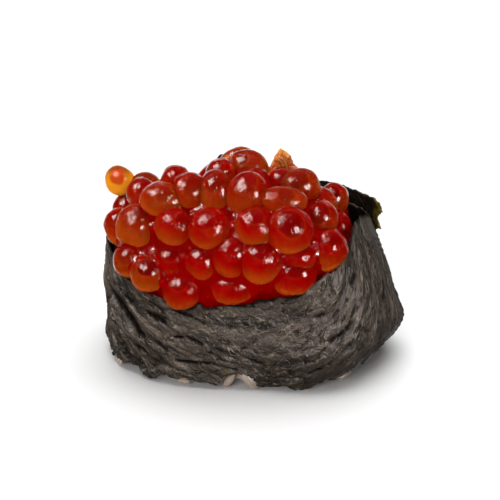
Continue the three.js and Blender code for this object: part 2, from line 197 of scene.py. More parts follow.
def points_of(item: bpy.types.Object) -> np.ndarray:
    """The mesh's points in millimetres, one row each."""
    flat = np.empty(len(item.data.vertices) * 3)
    item.data.vertices.foreach_get("co", flat)
    return flat.reshape(-1, 3) / MM


def set_points(item: bpy.types.Object, points: np.ndarray) -> None:
    """Moves the mesh's points to places given in millimetres."""
    item.data.vertices.foreach_set("co", (points * MM).ravel())
    item.data.update()


def copy_of(item: bpy.types.Object, name: str) -> bpy.types.Object:
    """A copy with a mesh of its own, linked into the scene."""
    twin = item.copy()
    twin.data = item.data.copy()
    twin.name = name
    bpy.context.collection.objects.link(twin)
    return twin


def joined(items: list[bpy.types.Object], name: str) -> bpy.types.Object:
    """Joins objects into one.

    Args:
        items: the objects; the first keeps its settings.
        name: what the joined object is called.

    Returns:
        The joined object.
    """
    only(items[0])
    for item in items:
        item.select_set(True)
    bpy.ops.object.join()
    return added(name)


def finished(item: bpy.types.Object, *finishes: bpy.types.Material) -> bpy.types.Object:
    """Adds a piece's materials and shades it smooth all over.

    Args:
        item: the piece.
        finishes: the materials to add, in the order of their slots.

    Returns:
        The piece.
    """
    for finish in finishes:
        item.data.materials.append(finish)
    only(item)
    bpy.ops.object.shade_smooth()
    return item


def face_outwards(item: bpy.types.Object) -> None:
    """Merges doubled points and turns all faces outwards."""
    in_edit_mode(
        item,
        lambda: bpy.ops.mesh.remove_doubles(threshold=0.00001),
        lambda: bpy.ops.mesh.normals_make_consistent(inside=False),
    )


def remove(item: bpy.types.Object) -> None:
    """Takes an object out of the scene."""
    bpy.data.objects.remove(item, do_unlink=True)


def store(item: bpy.types.Object, name: str, kind: str, values: np.ndarray) -> None:
    """Stores a value for each point as a named attribute.

    Args:
        item: the object whose mesh carries it.
        name: the attribute's name, which the material reads.
        kind: FLOAT, FLOAT_VECTOR or FLOAT_COLOR.
        values: one row for each point.
    """
    attribute = item.data.attributes.new(name, kind, "POINT")
    prop = {"FLOAT": "value", "FLOAT_VECTOR": "vector", "FLOAT_COLOR": "color"}[kind]
    attribute.data.foreach_set(prop, np.asarray(values, dtype=np.float32).ravel())


def store_egg(
    item: bpy.types.Object, place: np.ndarray, spot: Vector, reach: float, traits: Triple
) -> None:
    """Stores what an egg's material reads from its mesh.

    Args:
        item: the egg.
        place: where each point lies on a ball with radius 1.
        spot: the middle of the oil spot on that ball.
        reach: the angle from there to the spot's edge, in radians.
        traits: how rust-coloured it is, how strong the painted light on its lower rim is, and how
            dark its spot is.
    """
    tone, painted_glow, depth = traits
    inside = reach - np.arccos(np.clip(place @ np.array(spot), -1, 1))
    store(item, "egg_place", "FLOAT_VECTOR", place)
    store(item, "egg_traits", "FLOAT_COLOR", [(tone, painted_glow, share, depth) for share in inside])


# ---------------------------------------------------------------- the forms to follow


@dataclass(frozen=True)
class DisplaySide:
    """The side the sushi is shown from, and the directions as the eye there sees them."""

    turn: float = 12
    rise: float = 28

    @property
    def across(self) -> Vector:
        """The direction that the eye sees as to the right."""
        turn = math.radians(self.turn)
        return Vector((math.cos(turn), math.sin(turn), 0))

    @property
    def towards(self) -> Vector:
        """The direction from the sushi to the eye."""
        turn, rise = math.radians(self.turn), math.radians(self.rise)
        level = math.cos(rise)
        return Vector((math.sin(turn) * level, -math.cos(turn) * level, math.sin(rise)))

    @property
    def up(self) -> Vector:
        """The direction that the eye sees as up."""
        return self.towards.cross(self.across)

    def place(self, across: float, up: float, towards: float) -> Vector:
        """The point that lies so far across, up and towards the eye."""
        return self.across * across + self.up * up + self.towards * towards

    def as_matrix(self) -> Matrix:
        """The turn that takes x, y and z to across, up and towards."""
        return Matrix((self.across, self.up, self.towards)).transposed()


@dataclass(frozen=True)
class WrapForm:
    """The form of the nori strip as it stands round the rice.

    The cyclic values hold one number for each 45 degrees from +X. The values along the
    strip belong to its angles: it starts under its own tail, passes the right end, the
    front, the left end and the back, and overlaps itself.
    """

    half_length: float = 28.3
    half_width: float = 17.6
    squareness: float = 2.35
    belly: float = 8
    full_height: float = 28.5
    swell: tuple[float, ...] = (0.9, 0, 0, 0.4, 0.2, 2.7, 0.6, 0.9)
    tuck: tuple[float, ...] = (9.0, 4.5, 2.5, 2.5, 0.4, 0.4, 0, 2.6)
    lean: tuple[float, ...] = (9.5, 3.4, 1.5, 1.0, 0.5, 1.6, 3.2, 6.6)
    angles: tuple[float, ...] = (
        62, 20, 4, -12, -30, -52, -75, -100, -120, -140, -163, -190, -225, -270, -310, -340,
    )  # fmt: skip
    rims: tuple[float, ...] = (
        24, 24.5, 28.2, 25.6, 22.4, 19.4, 18.3, 17.2, 16.7, 19.2, 23.8, 25.8, 28.3, 28.8, 28.2, 28.3,
    )  # fmt: skip
    feet: tuple[float, ...] = (
        1.2, 1.3, 1.6, 1.5, 1.2, 0.5, 0.3, 0.9, 0.8, 0.6, 0.4, 0.8, 0.8, 1.0, 1.2, 3.5,
    )  # fmt: skip
    tear_angles: tuple[float, ...] = (-36, -82, -97, -112, -141, -196)
    tear_rise: float = 1.9
    tear_half_width: float = 5
    tail_leaves: float = -262
    tail_lap: float = 1.0
    tail_gape: float = 3.2
    tail_slant: float = 18
    crease_depth: float = 0.38

    def along(self, values: tuple[float, ...], degrees: float) -> float:
        """A value along the strip, from the values listed at its angles."""
        last = len(self.angles) - 1
        index = 0
        while index < last - 1 and degrees < self.angles[index + 1]:
            index += 1
        step = self.angles[index] - self.angles[index + 1]
        share = clamp((self.angles[index] - degrees) / step, 0, 1)
        near = tuple(values[int(clamp(index + offset, 0, last))] for offset in (-1, 0, 1, 2))
        return catmull_rom(near, share)

    def wall_radius(self, degrees: float, height: float) -> float:
        """How far the wall stands from the middle at an angle and height."""
        angle = math.radians(degrees)
        power = self.squareness
        along = abs(math.cos(angle) / self.half_length) ** power
        across = abs(math.sin(angle) / self.half_width) ** power
        belly = (along + across) ** (-1 / power) + round_the_wrap(self.swell, degrees)
        below = clamp((self.belly - height) / self.belly, 0, 1)
        above = clamp((height - self.belly) / (self.full_height - self.belly), 0, 1.1)
        tuck = round_the_wrap(self.tuck, degrees) * below**1.9
        return belly - tuck - round_the_wrap(self.lean, degrees) * above**1.1

    def creases(self, degrees: float, height: float) -> float:
        """How far the broad creases push the wall out; they repeat after a full turn."""
        bend = 20 * math.sin(math.radians(3 * degrees))
        broad = math.sin(math.radians(2 * degrees + 27 * height + bend))
        narrow = math.sin(math.radians(6 * degrees - 9 * height + 40))
        return self.crease_depth * (0.55 * broad + 0.45 * narrow)

    def foot(self, degrees: float) -> float:
        """The height of the strip's lower edge, with its tears."""
        half = self.tear_half_width
        torn = max(smooth(1 - abs(degrees - angle) / half) for angle in self.tear_angles)
        return self.along(self.feet, degrees) + self.tear_rise * torn

    def rim(self, degrees: float) -> float:
        """The height of the strip's upper edge."""
        return self.along(self.rims, degrees)

    def rim_round(self, degrees: float) -> float:
        """The rim's height on the strip's first turn, at any angle."""
        first = self.angles[0]
        return self.rim(first - (first - degrees) % 360)

    def tail_lift(self, degrees: float, height: float) -> float:
        """How far the overlapping tail stands off the layer below it."""
        lap = smooth((self.tail_leaves - degrees) / 30) * self.tail_lap
        start = self.angles[0] - 360
        free = clamp((start - degrees) / (start - self.angles[-1]), 0, 1)
        return lap + self.tail_gape * free**1.6 * clamp(height / self.full_height, 0, 1) ** 2

    def point(self, degrees: float, height: float, outwards: float) -> Vector:
        """A point of the strip's middle surface, moved outwards.

        Args:
            degrees: the angle round the wrap.
            height: the height above the ground.
            outwards: how far to move it off the surface.

        Returns:
            The point.
        """

        def place(angle: float, level: float) -> Vector:
            """The point of the middle surface itself."""
            radius = self.wall_radius(angle, level) + self.creases(angle, level)
            radius += self.tail_lift(angle, level)
            return Vector(polar(radius, math.radians(angle), level))

        step = 0.5
        round_way = place(degrees + step, height) - place(degrees - step, height)
        upward = place(degrees, height + step) - place(degrees, height - step)
        return place(degrees, height) + round_way.cross(upward).normalized() * outwards


@dataclass(frozen=True)
class HeapForm:
    """The squarish dome that the middles of the topmost eggs lie on, and its skyline."""

    side: DisplaySide = DisplaySide()
    centre: Vector = field(default_factory=lambda: Vector((-4.4, 1.2, 18)))
    half_axes: Triple = (22, 16, 19)
    squareness: float = 2.8
    skyline: tuple[tuple[float, float], ...] = (
        (-29, 22), (-25, 27.5), (-20, 30.4), (-14, 31.4), (-8, 32.4),
        (-3, 34.6), (3, 32.6), (10, 29.6), (16, 26.4), (20, 22),
    )  # fmt: skip

    def share(self, point: Vector) -> float:
        """How far out a point lies from the dome's middle: 1 on the dome itself."""
        offset = point - self.centre
        total = sum(abs(v / half) ** self.squareness for v, half in zip(offset, self.half_axes))
        return total ** (1 / self.squareness)

    def onto(self, point: Vector) -> Vector:
        """The point moved straight in or out until it lies on the dome."""
        return self.centre + (point - self.centre) / self.share(point)

    def settled(self, point: Vector, below: float = 0) -> Vector:
        """The point lowered until it no longer shows above the skyline."""
        line = self.skyline
        across = clamp(point.dot(self.side.across), line[0][0], line[-1][0])
        index = max(1, next(i for i, (place, _) in enumerate(line) if place >= across))
        (start, low), (end, high) = line[index - 1], line[index]
        limit = low + (high - low) * (across - start) / (end - start) - below
        excess = max(0.0, point.dot(self.side.up) - limit)
        return point - Vector((0, 0, excess / self.side.up.z))

    def seen_at(self, across: float, up: float) -> Vector:
        """Where the line of sight through a place first meets the dome.

        Args:
            across: how far to the right the eye sees the place.
            up: how far up the eye sees it.

        Returns:
            The point on the dome, or the nearest one where the line passes over it.
        """
        reach, step = 60, 0.1
        point = self.side.place(across, up, reach)
        closest, best = point, math.inf
        for _ in range(int(2 * reach / step)):
            point = point - self.side.towards * step
            share = self.share(point)
            if share < best:
                closest, best = point, share
            if best <= 1:
                break
        return self.onto(closest)


# ---------------------------------------------------------------- materials


class Tree:
    """A node tree, with short calls that add and link nodes."""

    def __init__(self, tree: bpy.types.NodeTree) -> None:
        """Empties the tree.

        Args:
            tree: the node tree to build in.
        """
        self.tree = tree
        tree.nodes.clear()

    def give(self, node: bpy.types.Node, inputs: dict) -> None:
        """Links or sets a node's inputs.

        Args:
            node: the node.
            inputs: sockets, numbers or colours by input number, or by name with _ for a blank.
        """
        for name, value in inputs.items():
            socket = node.inputs[name.replace("_", " ") if isinstance(name, str) else name]
            if isinstance(value, bpy.types.NodeSocket):
                self.tree.links.new(value, socket)
            elif socket.type == "RGBA":
                socket.default_value = (*value, 1)
            else:
                socket.default_value = value

    def add(self, kind: str, inputs: dict | None = None, **settings: object) -> bpy.types.Node:
        """Adds a node.

        Args:
            kind: Blender's name for the node, without ShaderNode.
            inputs: what goes into it, as for give.
            settings: the node's own settings.

        Returns:
            The node.
        """
        prefix = "" if kind.startswith("NodeGroup") else "ShaderNode"
        node = self.tree.nodes.new(prefix + kind)
        for name, value in settings.items():
            setattr(node, name, value)
        self.give(node, inputs or {})
        return node

    def math(self, operation: str, *values: object) -> bpy.types.NodeSocket:
        """The result of a sum on one, two or three values."""
        return self.add("Math", dict(enumerate(values)), operation=operation).outputs[0]

    def times(self, product: object, *values: object) -> bpy.types.NodeSocket:
        """The product of all the values."""
        for value in values:
            product = self.math("MULTIPLY", product, value)
        return product

    def line(self, value: object, slope: object, start: object) -> bpy.types.NodeSocket:
        """A value times a slope, plus a start."""
        return self.math("MULTIPLY_ADD", value, slope, start)

    def mix(self, share: object, first: object, second: object) -> bpy.types.NodeSocket:
        """A colour between two colours.

        Args:
            share: 0 for the first colour, 1 for the second.
            first: a colour or a socket.
            second: a colour or a socket.

        Returns:
            The mixed colour.
        """
        inputs = {"Factor": share, 6: first, 7: second}
        return self.add("Mix", inputs, data_type="RGBA", clamp_factor=True).outputs[2]

    def band(self, value: object, low: float, high: float) -> bpy.types.NodeSocket:
        """0 below one limit and 1 above the other, eased between; the limits may be swapped."""
        inputs = {"Value": value, 1: low, 2: high}
        node = self.add("MapRange", inputs, interpolation_type="SMOOTHSTEP", clamp=True)
        return node.outputs[0]

    def noise(
        self, vector: object, scale: float, detail: float = 2, stretch: object = None
    ) -> bpy.types.NodeSocket:
        """Noise from about 0.2 to 0.8.

        Args:
            vector: the coordinates.
            scale: how many waves there are to one unit of the coordinates.
            detail: how many finer layers it has.
            stretch: a scale for each direction.

        Returns:
            The noise value.
        """
        if stretch is not None:
            vector = self.add("Mapping", {"Vector": vector, "Scale": stretch}).outputs[0]
        return self.add("TexNoise", {"Vector": vector, "Scale": scale, "Detail": detail}).outputs[0]

    def warped(
        self, vector: object, scale: float, detail: float, reach: float
    ) -> bpy.types.NodeSocket:
        """Coordinates bent by noise.

        Args:
            vector: the coordinates.
            scale: how many waves the noise has to one unit of the coordinates.
            detail: how many finer layers it has.
            reach: how far it moves them, in the same units.

        Returns:
            The bent coordinates.
        """
        inputs = {"Vector": vector, "Scale": scale, "Detail": detail}
        bend = self.add("TexNoise", inputs).outputs["Color"]
        shift = self.add("VectorMath", {0: bend, "Scale": reach}, operation="SCALE").outputs[0]
        return self.add("VectorMath", {0: vector, 1: shift}, operation="ADD").outputs[0]

    def bump(self, height: object, distance: float, strength: float = 1) -> bpy.types.NodeSocket:
        """The normal that a height gives; the distance is what a height of 1 stands for."""
        inputs = {"Height": height, "Strength": strength, "Distance": distance}
        return self.add("Bump", inputs).outputs[0]

    def attribute(self, name: str) -> bpy.types.bpy_prop_collection:
        """The outputs of the node that reads one of the mesh's named attributes."""
        return self.add("Attribute", attribute_name=name).outputs

    def object_place(self) -> bpy.types.NodeSocket:
        """Where a point lies on the object, in metres."""
        return self.add("TexCoord").outputs["Object"]


class Group(Enum):
    """The shared effects, each built once as a node group."""

    WET_SKIN = "wet egg skin"
    MOTTLE = "uneven colour"


class Groups:
    """The shared node groups, built on first use."""

    def __init__(self) -> None:
        """Starts with none built."""
        self.built: dict[Group, bpy.types.NodeTree] = {}

    def tree_of(self, group: Group) -> bpy.types.NodeTree:
        """The node tree of one effect."""
        if group not in self.built:
            makers = {Group.WET_SKIN: self.wet_skin, Group.MOTTLE: self.mottle}
            self.built[group] = makers[group]()
        return self.built[group]

    @staticmethod
    def start(
        group: Group, inputs: dict[str, float], *outputs: str
    ) -> tuple[Tree, bpy.types.bpy_prop_collection, bpy.types.Node]:
        """Starts a group with its sockets. Place and Normal are vectors, the others numbers.

        Args:
            group: the effect, which names it.
            inputs: the usual value of each input beside Place.
            outputs: each output's name.

        Returns:
            The tree, what comes in by name, and the output node.
        """
        made = bpy.data.node_groups.new(group.value, "ShaderNodeTree")
        vector, number = "NodeSocketVector", "NodeSocketFloat"
        made.interface.new_socket("Place", in_out="INPUT", socket_type=vector)
        for name, usual in inputs.items():
            socket = made.interface.new_socket(name, in_out="INPUT", socket_type=number)
            socket.default_value = usual
        for name in outputs:
            kind = vector if name == "Normal" else number
            made.interface.new_socket(name, in_out="OUTPUT", socket_type=kind)
        tree = Tree(made)
        return tree, tree.add("NodeGroupInput").outputs, tree.add("NodeGroupOutput")

    def wet_skin(self) -> bpy.types.NodeTree:
        """Fine wrinkles and broken wet films, which break up the highlights on a wet egg."""
        tree, given, out = self.start(
            Group.WET_SKIN, {"Depth": 1, "Patches": 0.5}, "Normal", "Roughness", "Film", "Glints"
        )
        place = given["Place"]
        warped = tree.warped(place, 300, 1, 0.0012)
        fine = tree.noise(warped, 1100, 2, (1, 1, 0.4))
        broad = tree.noise(warped, 480, 1.5)
        low = tree.times(tree.math("SUBTRACT", 0.62, given["Patches"]), 0.5)
        patch = tree.band(tree.math("SUBTRACT", tree.noise(place, 230, 1), low), 0.12, 0.42)
        height = tree.math("ADD", tree.times(fine, 0.8), broad)
        height = tree.times(height, tree.line(patch, 0.9, 0.1), given["Depth"])
        streaks = tree.band(tree.noise(warped, 1250, 2, (1, 0.6, 0.35)), 0.40, 0.53)
        results = {
            "Normal": tree.bump(height, 0.0002),
            "Roughness": tree.line(patch, 0.07, 0.05),
            "Film": tree.line(streaks, 0.85, 0.05),
            "Glints": tree.band(tree.noise(warped, 1900, 1), 0.56, 0.61),
        }
        tree.give(out, results)
        return tree.tree

    def mottle(self) -> bpy.types.NodeTree:
        """Slow drifts of tone, from -1 to 1, with a finer one beside it."""
        tree, given, out = self.start(Group.MOTTLE, {"Scale": 300}, "Broad", "Fine")
        for name, times, detail in (("Broad", 1, 1), ("Fine", 3.7, 3)):
            value = tree.noise(given["Place"], tree.times(given["Scale"], times), detail)
            tree.give(out, {name: tree.line(value, 3.2, -1.6)})
        return tree.tree


class Surface(Tree):
    """A material's tree: its shader, its output and the shared effects that it draws on."""

    def __init__(self, name: str, groups: Groups) -> None:
        """Makes the material.

        Args:
            name: what it is called.
            groups: the shared effects.
        """
        self.material = bpy.data.materials.new(name)
        self.material.use_nodes = True
        super().__init__(self.material.node_tree)
        self.groups = groups
        self.shader = self.add("BsdfPrincipled")
        self.output = self.add("OutputMaterial", {"Surface": self.shader.outputs[0]})

    def effect(self, group: Group, **inputs: object) -> bpy.types.bpy_prop_collection:
        """The outputs of a shared effect, placed with these inputs."""
        return self.add("Group", inputs, node_tree=self.groups.tree_of(group)).outputs

    def shade(self, **inputs: object) -> None:
        """Links or sets the shader's inputs."""
        self.give(self.shader, inputs)

    def add_clear_part(self, share: object, **inputs: object) -> None:
        """Mixes in a clear part, which refracts what lies behind.

        Args:
            share: how much of the surface is clear.
            inputs: the clear part's own inputs.
        """
        clear = self.add("BsdfPrincipled", {"Transmission_Weight": 1, **inputs})
        mixed = self.add("MixShader", {0: share, 1: self.shader.outputs[0], 2: clear.outputs[0]})
        self.give(self.output, {"Surface": mixed.outputs[0]})


class EggValues:
    """What an egg's mesh tells its material."""

    def __init__(self, tree: Surface) -> None:
        """Reads the mesh's attributes.

        Args:
            tree: the material's tree.
        """
        traits = tree.attribute("egg_traits")
        parts = tree.add("SeparateColor", {0: traits["Color"]}).outputs
        self.tone, self.painted_glow, self.spot = parts[0], parts[1], parts[2]
        self.depth = traits["Alpha"]
        ball = tree.attribute("egg_place")["Vector"]
        self.rise = tree.add("SeparateXYZ", {0: ball}).outputs["Z"]


def wet(skin: bpy.types.bpy_prop_collection, ior: float, **coat: object) -> dict[str, object]:
    """The shader inputs that the wet finishes share.

    Args:
        skin: the outputs of the wet skin.
        ior: how strongly light bends in it.
        coat: the inputs of the film of water on it.

    Returns:
        The inputs by name.
    """
    return {"Roughness": skin["Roughness"], "Normal": skin["Normal"], "IOR": ior, **coat}


@dataclass(frozen=True)
class Finish:
    """A finish by its name. Each kind holds its colours and has its own nodes."""

    name: str

    def make(self, groups: Groups) -> bpy.types.Material:
        """Builds the material.

        Args:
            groups: the shared effects.

        Returns:
            The material.
        """
        tree = Surface(self.name, groups)
        self.dress(tree)
        return tree.material

    def dress(self, tree: Surface) -> None:
        """Adds the nodes of this kind of finish."""
        raise NotImplementedError


@dataclass(frozen=True)
class RoeFinish(Finish):
    """Wet translucent salmon eggs: deep red to rust, with an oil spot on top.

    Light through the eggs is painted into their colour: a darker top, a warmer lower part,
    orange light on the lower rim and a paler edge away from the spot.
    """

    name: str = "wet salmon roe"
    crimson: Triple = (0.50, 0.0022, 0.0006)
    rust: Triple = (0.44, 0.092, 0.0045)
    orange: Triple = (0.74, 0.170, 0.010)
    spot: Triple = (0.15, 0.0003, 0.0002)
    cool_tint: Triple = (0.98, 0.05, 0.02)
    warm_tint: Triple = (0.98, 0.26, 0.05)
    painted_glow_tint: Triple = (1.0, 0.42, 0.08)
    spot_tint: Triple = (0.30, 0.004, 0.002)
    clearness: float = 0.6
    ior: float = 1.36
    shine: float = 0.16
    clear_shine: Triple = (0.2, 0.2, 0.2)
    inner_glow: float = 0.0036
    painted_rim_light: float = 0.45

    def dress(self, tree: Surface) -> None:
        """Adds the nodes of the eggs.

        Args:
            tree: the material's tree.
        """
        place = tree.object_place()
        broad = tree.effect(Group.MOTTLE, Place=place, Scale=260)["Broad"]
        skin = tree.effect(Group.WET_SKIN, Place=place, Depth=1.7, Patches=0.65)
        egg = EggValues(tree)

        # Painted light: each egg's own rust tone, plus a lower part painted warmer, as light passing
        # down through it would show.
        rust_and_painted_warmth = tree.line(egg.rise, -0.7, tree.line(broad, 0.25, egg.tone))
        colour = tree.mix(rust_and_painted_warmth, self.crimson, self.rust)
        # Painted shade: the top of each egg is painted darker, towards the spot's colour.
        top = tree.times(tree.band(egg.rise, 0.1, 0.95), 0.6)
        colour = tree.mix(top, colour, self.spot)

        # Painted light: orange light painted on the lower rim of each egg, as light passing down
        # through a clear egg gathers there.
        low = tree.times(tree.band(egg.rise, -1.0, -0.75), tree.band(egg.rise, -0.1, -0.62))
        low = tree.times(low, egg.painted_glow, tree.line(broad, 0.35, 0.75), 1.3)
        colour = tree.mix(low, colour, self.orange)

        edge = tree.line(broad, 0.09, egg.spot)
        deep = tree.band(egg.depth, 0.6, 1.0)
        crisp = tree.times(tree.band(edge, -0.04, 0.05), deep)
        soft = tree.times(tree.band(edge, -0.25, 0.2), tree.line(deep, -0.7, 0.9))
        ring = tree.times(tree.band(edge, -0.2, -0.07), tree.band(edge, 0, -0.05))
        colour = tree.mix(tree.times(egg.depth, 0.18, ring), colour, self.orange)
        inside = tree.times(tree.math("MAXIMUM", crisp, soft), egg.depth)
        colour = tree.mix(inside, colour, self.spot)
        # Painted light: a paler orange edge painted on the side of each egg away from its spot,
        # stronger on the rust eggs.
        rim = tree.line(rust_and_painted_warmth, 0.75 * self.painted_rim_light, 0.25 * self.painted_rim_light)
        rim = tree.times(tree.band(egg.spot, -0.35, -1.05), rim)
        colour = tree.mix(rim, colour, self.orange)

        film = wet(skin, self.ior, Coat_Weight=skin["Film"], Coat_Roughness=0.05, Coat_IOR=1.3)
        tree.shade(
            **film,
            Base_Color=colour,
            Specular_IOR_Level=self.shine,
            Subsurface_Weight=tree.line(inside, -0.8, 1),
            Subsurface_Radius=(1.0, 0.12, 0.05),
            Subsurface_Scale=self.inner_glow,
        )
        # The clear part's tint carries the same painted light: the warmer lower part, the lower rim
        # and the edge.
        tint = tree.mix(rust_and_painted_warmth, self.cool_tint, self.warm_tint)
        for share, tinge in ((low, self.painted_glow_tint), (inside, self.spot_tint), (rim, self.painted_glow_tint)):
            tint = tree.mix(share, tint, tinge)
        share = tree.line(inside, -0.75 * self.clearness, self.clearness)
        tree.add_clear_part(share, **film, Base_Color=tint, Specular_Tint=self.clear_shine)


@dataclass(frozen=True)
class JuiceFinish(Finish):
    """The juice that fills the gaps between the eggs: deep red and mirror-smooth."""

    name: str = "roe juice"
    colour: Triple = (0.42, 0.0003, 0.0002)
    thin: Triple = (0.44, 0.008, 0.001)
    tint: Triple = (1.0, 0.03, 0.01)
    clearness: float = 0.5
    ior: float = 1.34
    shine: float = 0.06
    clear_shine: Triple = (0.08, 0.08, 0.08)

    def dress(self, tree: Surface) -> None:
        """Adds the nodes of the juice.

        Args:
            tree: the material's tree.
        """
        place = tree.object_place()
        broad = tree.effect(Group.MOTTLE, Place=place, Scale=200)["Broad"]
        skin = tree.effect(Group.WET_SKIN, Place=place, Depth=2.4, Patches=0.8)
        film = wet(skin, self.ior, Coat_Weight=skin["Glints"], Coat_Roughness=0.04, Coat_IOR=1.5)
        tree.shade(
            **film,
            Base_Color=tree.mix(tree.band(broad, 0.2, 1.0), self.colour, self.thin),
            Specular_IOR_Level=self.shine,
            Subsurface_Weight=1,
            Subsurface_Radius=(1.0, 0.1, 0.05),
            Subsurface_Scale=0.0024,
        )
        tree.add_clear_part(
            self.clearness, **film, Base_Color=self.tint, Specular_Tint=self.clear_shine
        )


@dataclass(frozen=True)
class AmberFinish(Finish):
    """The pale egg: amber, with an orange-red blot of oil under its top, and painted shade that
    darkens its top.
    """

    name: str = "amber egg"
    amber: Triple = (0.86, 0.33, 0.012)
    deep: Triple = (0.30, 0.045, 0.003)
    blot: Triple = (0.52, 0.035, 0.004)
    tint: Triple = (1.0, 0.52, 0.05)
    painted_shade_tint: Triple = (0.40, 0.06, 0.01)
    ior: float = 1.36
    shine: float = 0.2

    def dress(self, tree: Surface) -> None:
        """Adds the nodes of the pale egg.

        Args:
            tree: the material's tree.
        """
        place = tree.object_place()
        mottle = tree.effect(Group.MOTTLE, Place=place, Scale=420)
        skin = tree.effect(Group.WET_SKIN, Place=place, Depth=0.5, Patches=0.2)
        egg = EggValues(tree)
        # Painted shade: the top of the egg is painted darker and its lower part paler, as light
        # passing down through it would show.
        dark = tree.band(tree.line(mottle["Broad"], 0.12, egg.rise), 0.3, 1.0)
        colour = tree.mix(dark, self.amber, self.deep)
        edge = tree.line(mottle["Broad"], 0.16, egg.spot)
        edge = tree.line(mottle["Fine"], 0.04, edge)
        inside = tree.times(tree.band(edge, -0.05, 0.16), 0.92)
        tree.shade(
            **wet(skin, self.ior),
            Base_Color=tree.mix(inside, colour, self.blot),
            Specular_IOR_Level=self.shine,
            Coat_Weight=tree.times(skin["Film"], 0.35),
            Coat_Roughness=0.05,
            Coat_IOR=1.34,
            Subsurface_Weight=0.5,
            Subsurface_Radius=(1.0, 0.4, 0.1),
            Subsurface_Scale=0.0012,
        )
        tint = tree.mix(dark, self.tint, self.painted_shade_tint)
        share = tree.line(inside, -0.2, 0.25)
        tree.add_clear_part(share, **wet(skin, self.ior), Base_Color=tint)


@dataclass(frozen=True)
class SkinFinish(Finish):
    """The emptied egg skin: amber and streaked, paling to a yellowish tip."""

    name: str = "emptied egg skin"
    foot: Triple = (0.42, 0.028, 0.003)
    middle: Triple = (0.60, 0.125, 0.008)
    tip: Triple = (0.86, 0.46, 0.090)
    tint: Triple = (0.95, 0.50, 0.16)
    ior: float = 1.36
    clear_ior: float = 1.2
    clearness: float = 0.3
    shine: float = 0.4

    def dress(self, tree: Surface) -> None:
        """Adds the nodes of the skin.

        Args:
            tree: the material's tree.
        """
        place = tree.object_place()
        skin = tree.effect(Group.WET_SKIN, Place=place, Depth=1.1, Patches=0.9)
        rise = tree.attribute("skin_rise")["Fac"]
        streak = tree.noise(place, 1500, 2, (1, 1, 0.16))
        lift = tree.line(streak, 0.5, tree.math("SUBTRACT", rise, 0.25))
        gold = tree.times(tree.band(streak, 0.52, 0.64), tree.band(rise, 0.25, 0.5), 0.85)
        dark = tree.times(tree.band(streak, 0.45, 0.34), 0.5)
        colour = tree.mix(tree.band(lift, 0.15, 0.62), self.foot, self.middle)
        colour = tree.mix(tree.band(lift, 0.62, 1.0), colour, self.tip)
        colour = tree.mix(gold, colour, self.tip)
        tree.shade(
            **wet(skin, self.ior),
            Base_Color=tree.mix(dark, colour, self.foot),
            Specular_IOR_Level=self.shine,
            Coat_Weight=skin["Film"],
            Coat_Roughness=0.05,
            Coat_IOR=1.4,
            Subsurface_Weight=0.4,
            Subsurface_Radius=(1.0, 0.4, 0.1),
            Subsurface_Scale=0.0008,
        )
        tree.add_clear_part(self.clearness, **wet(skin, self.clear_ior), Base_Color=self.tint)


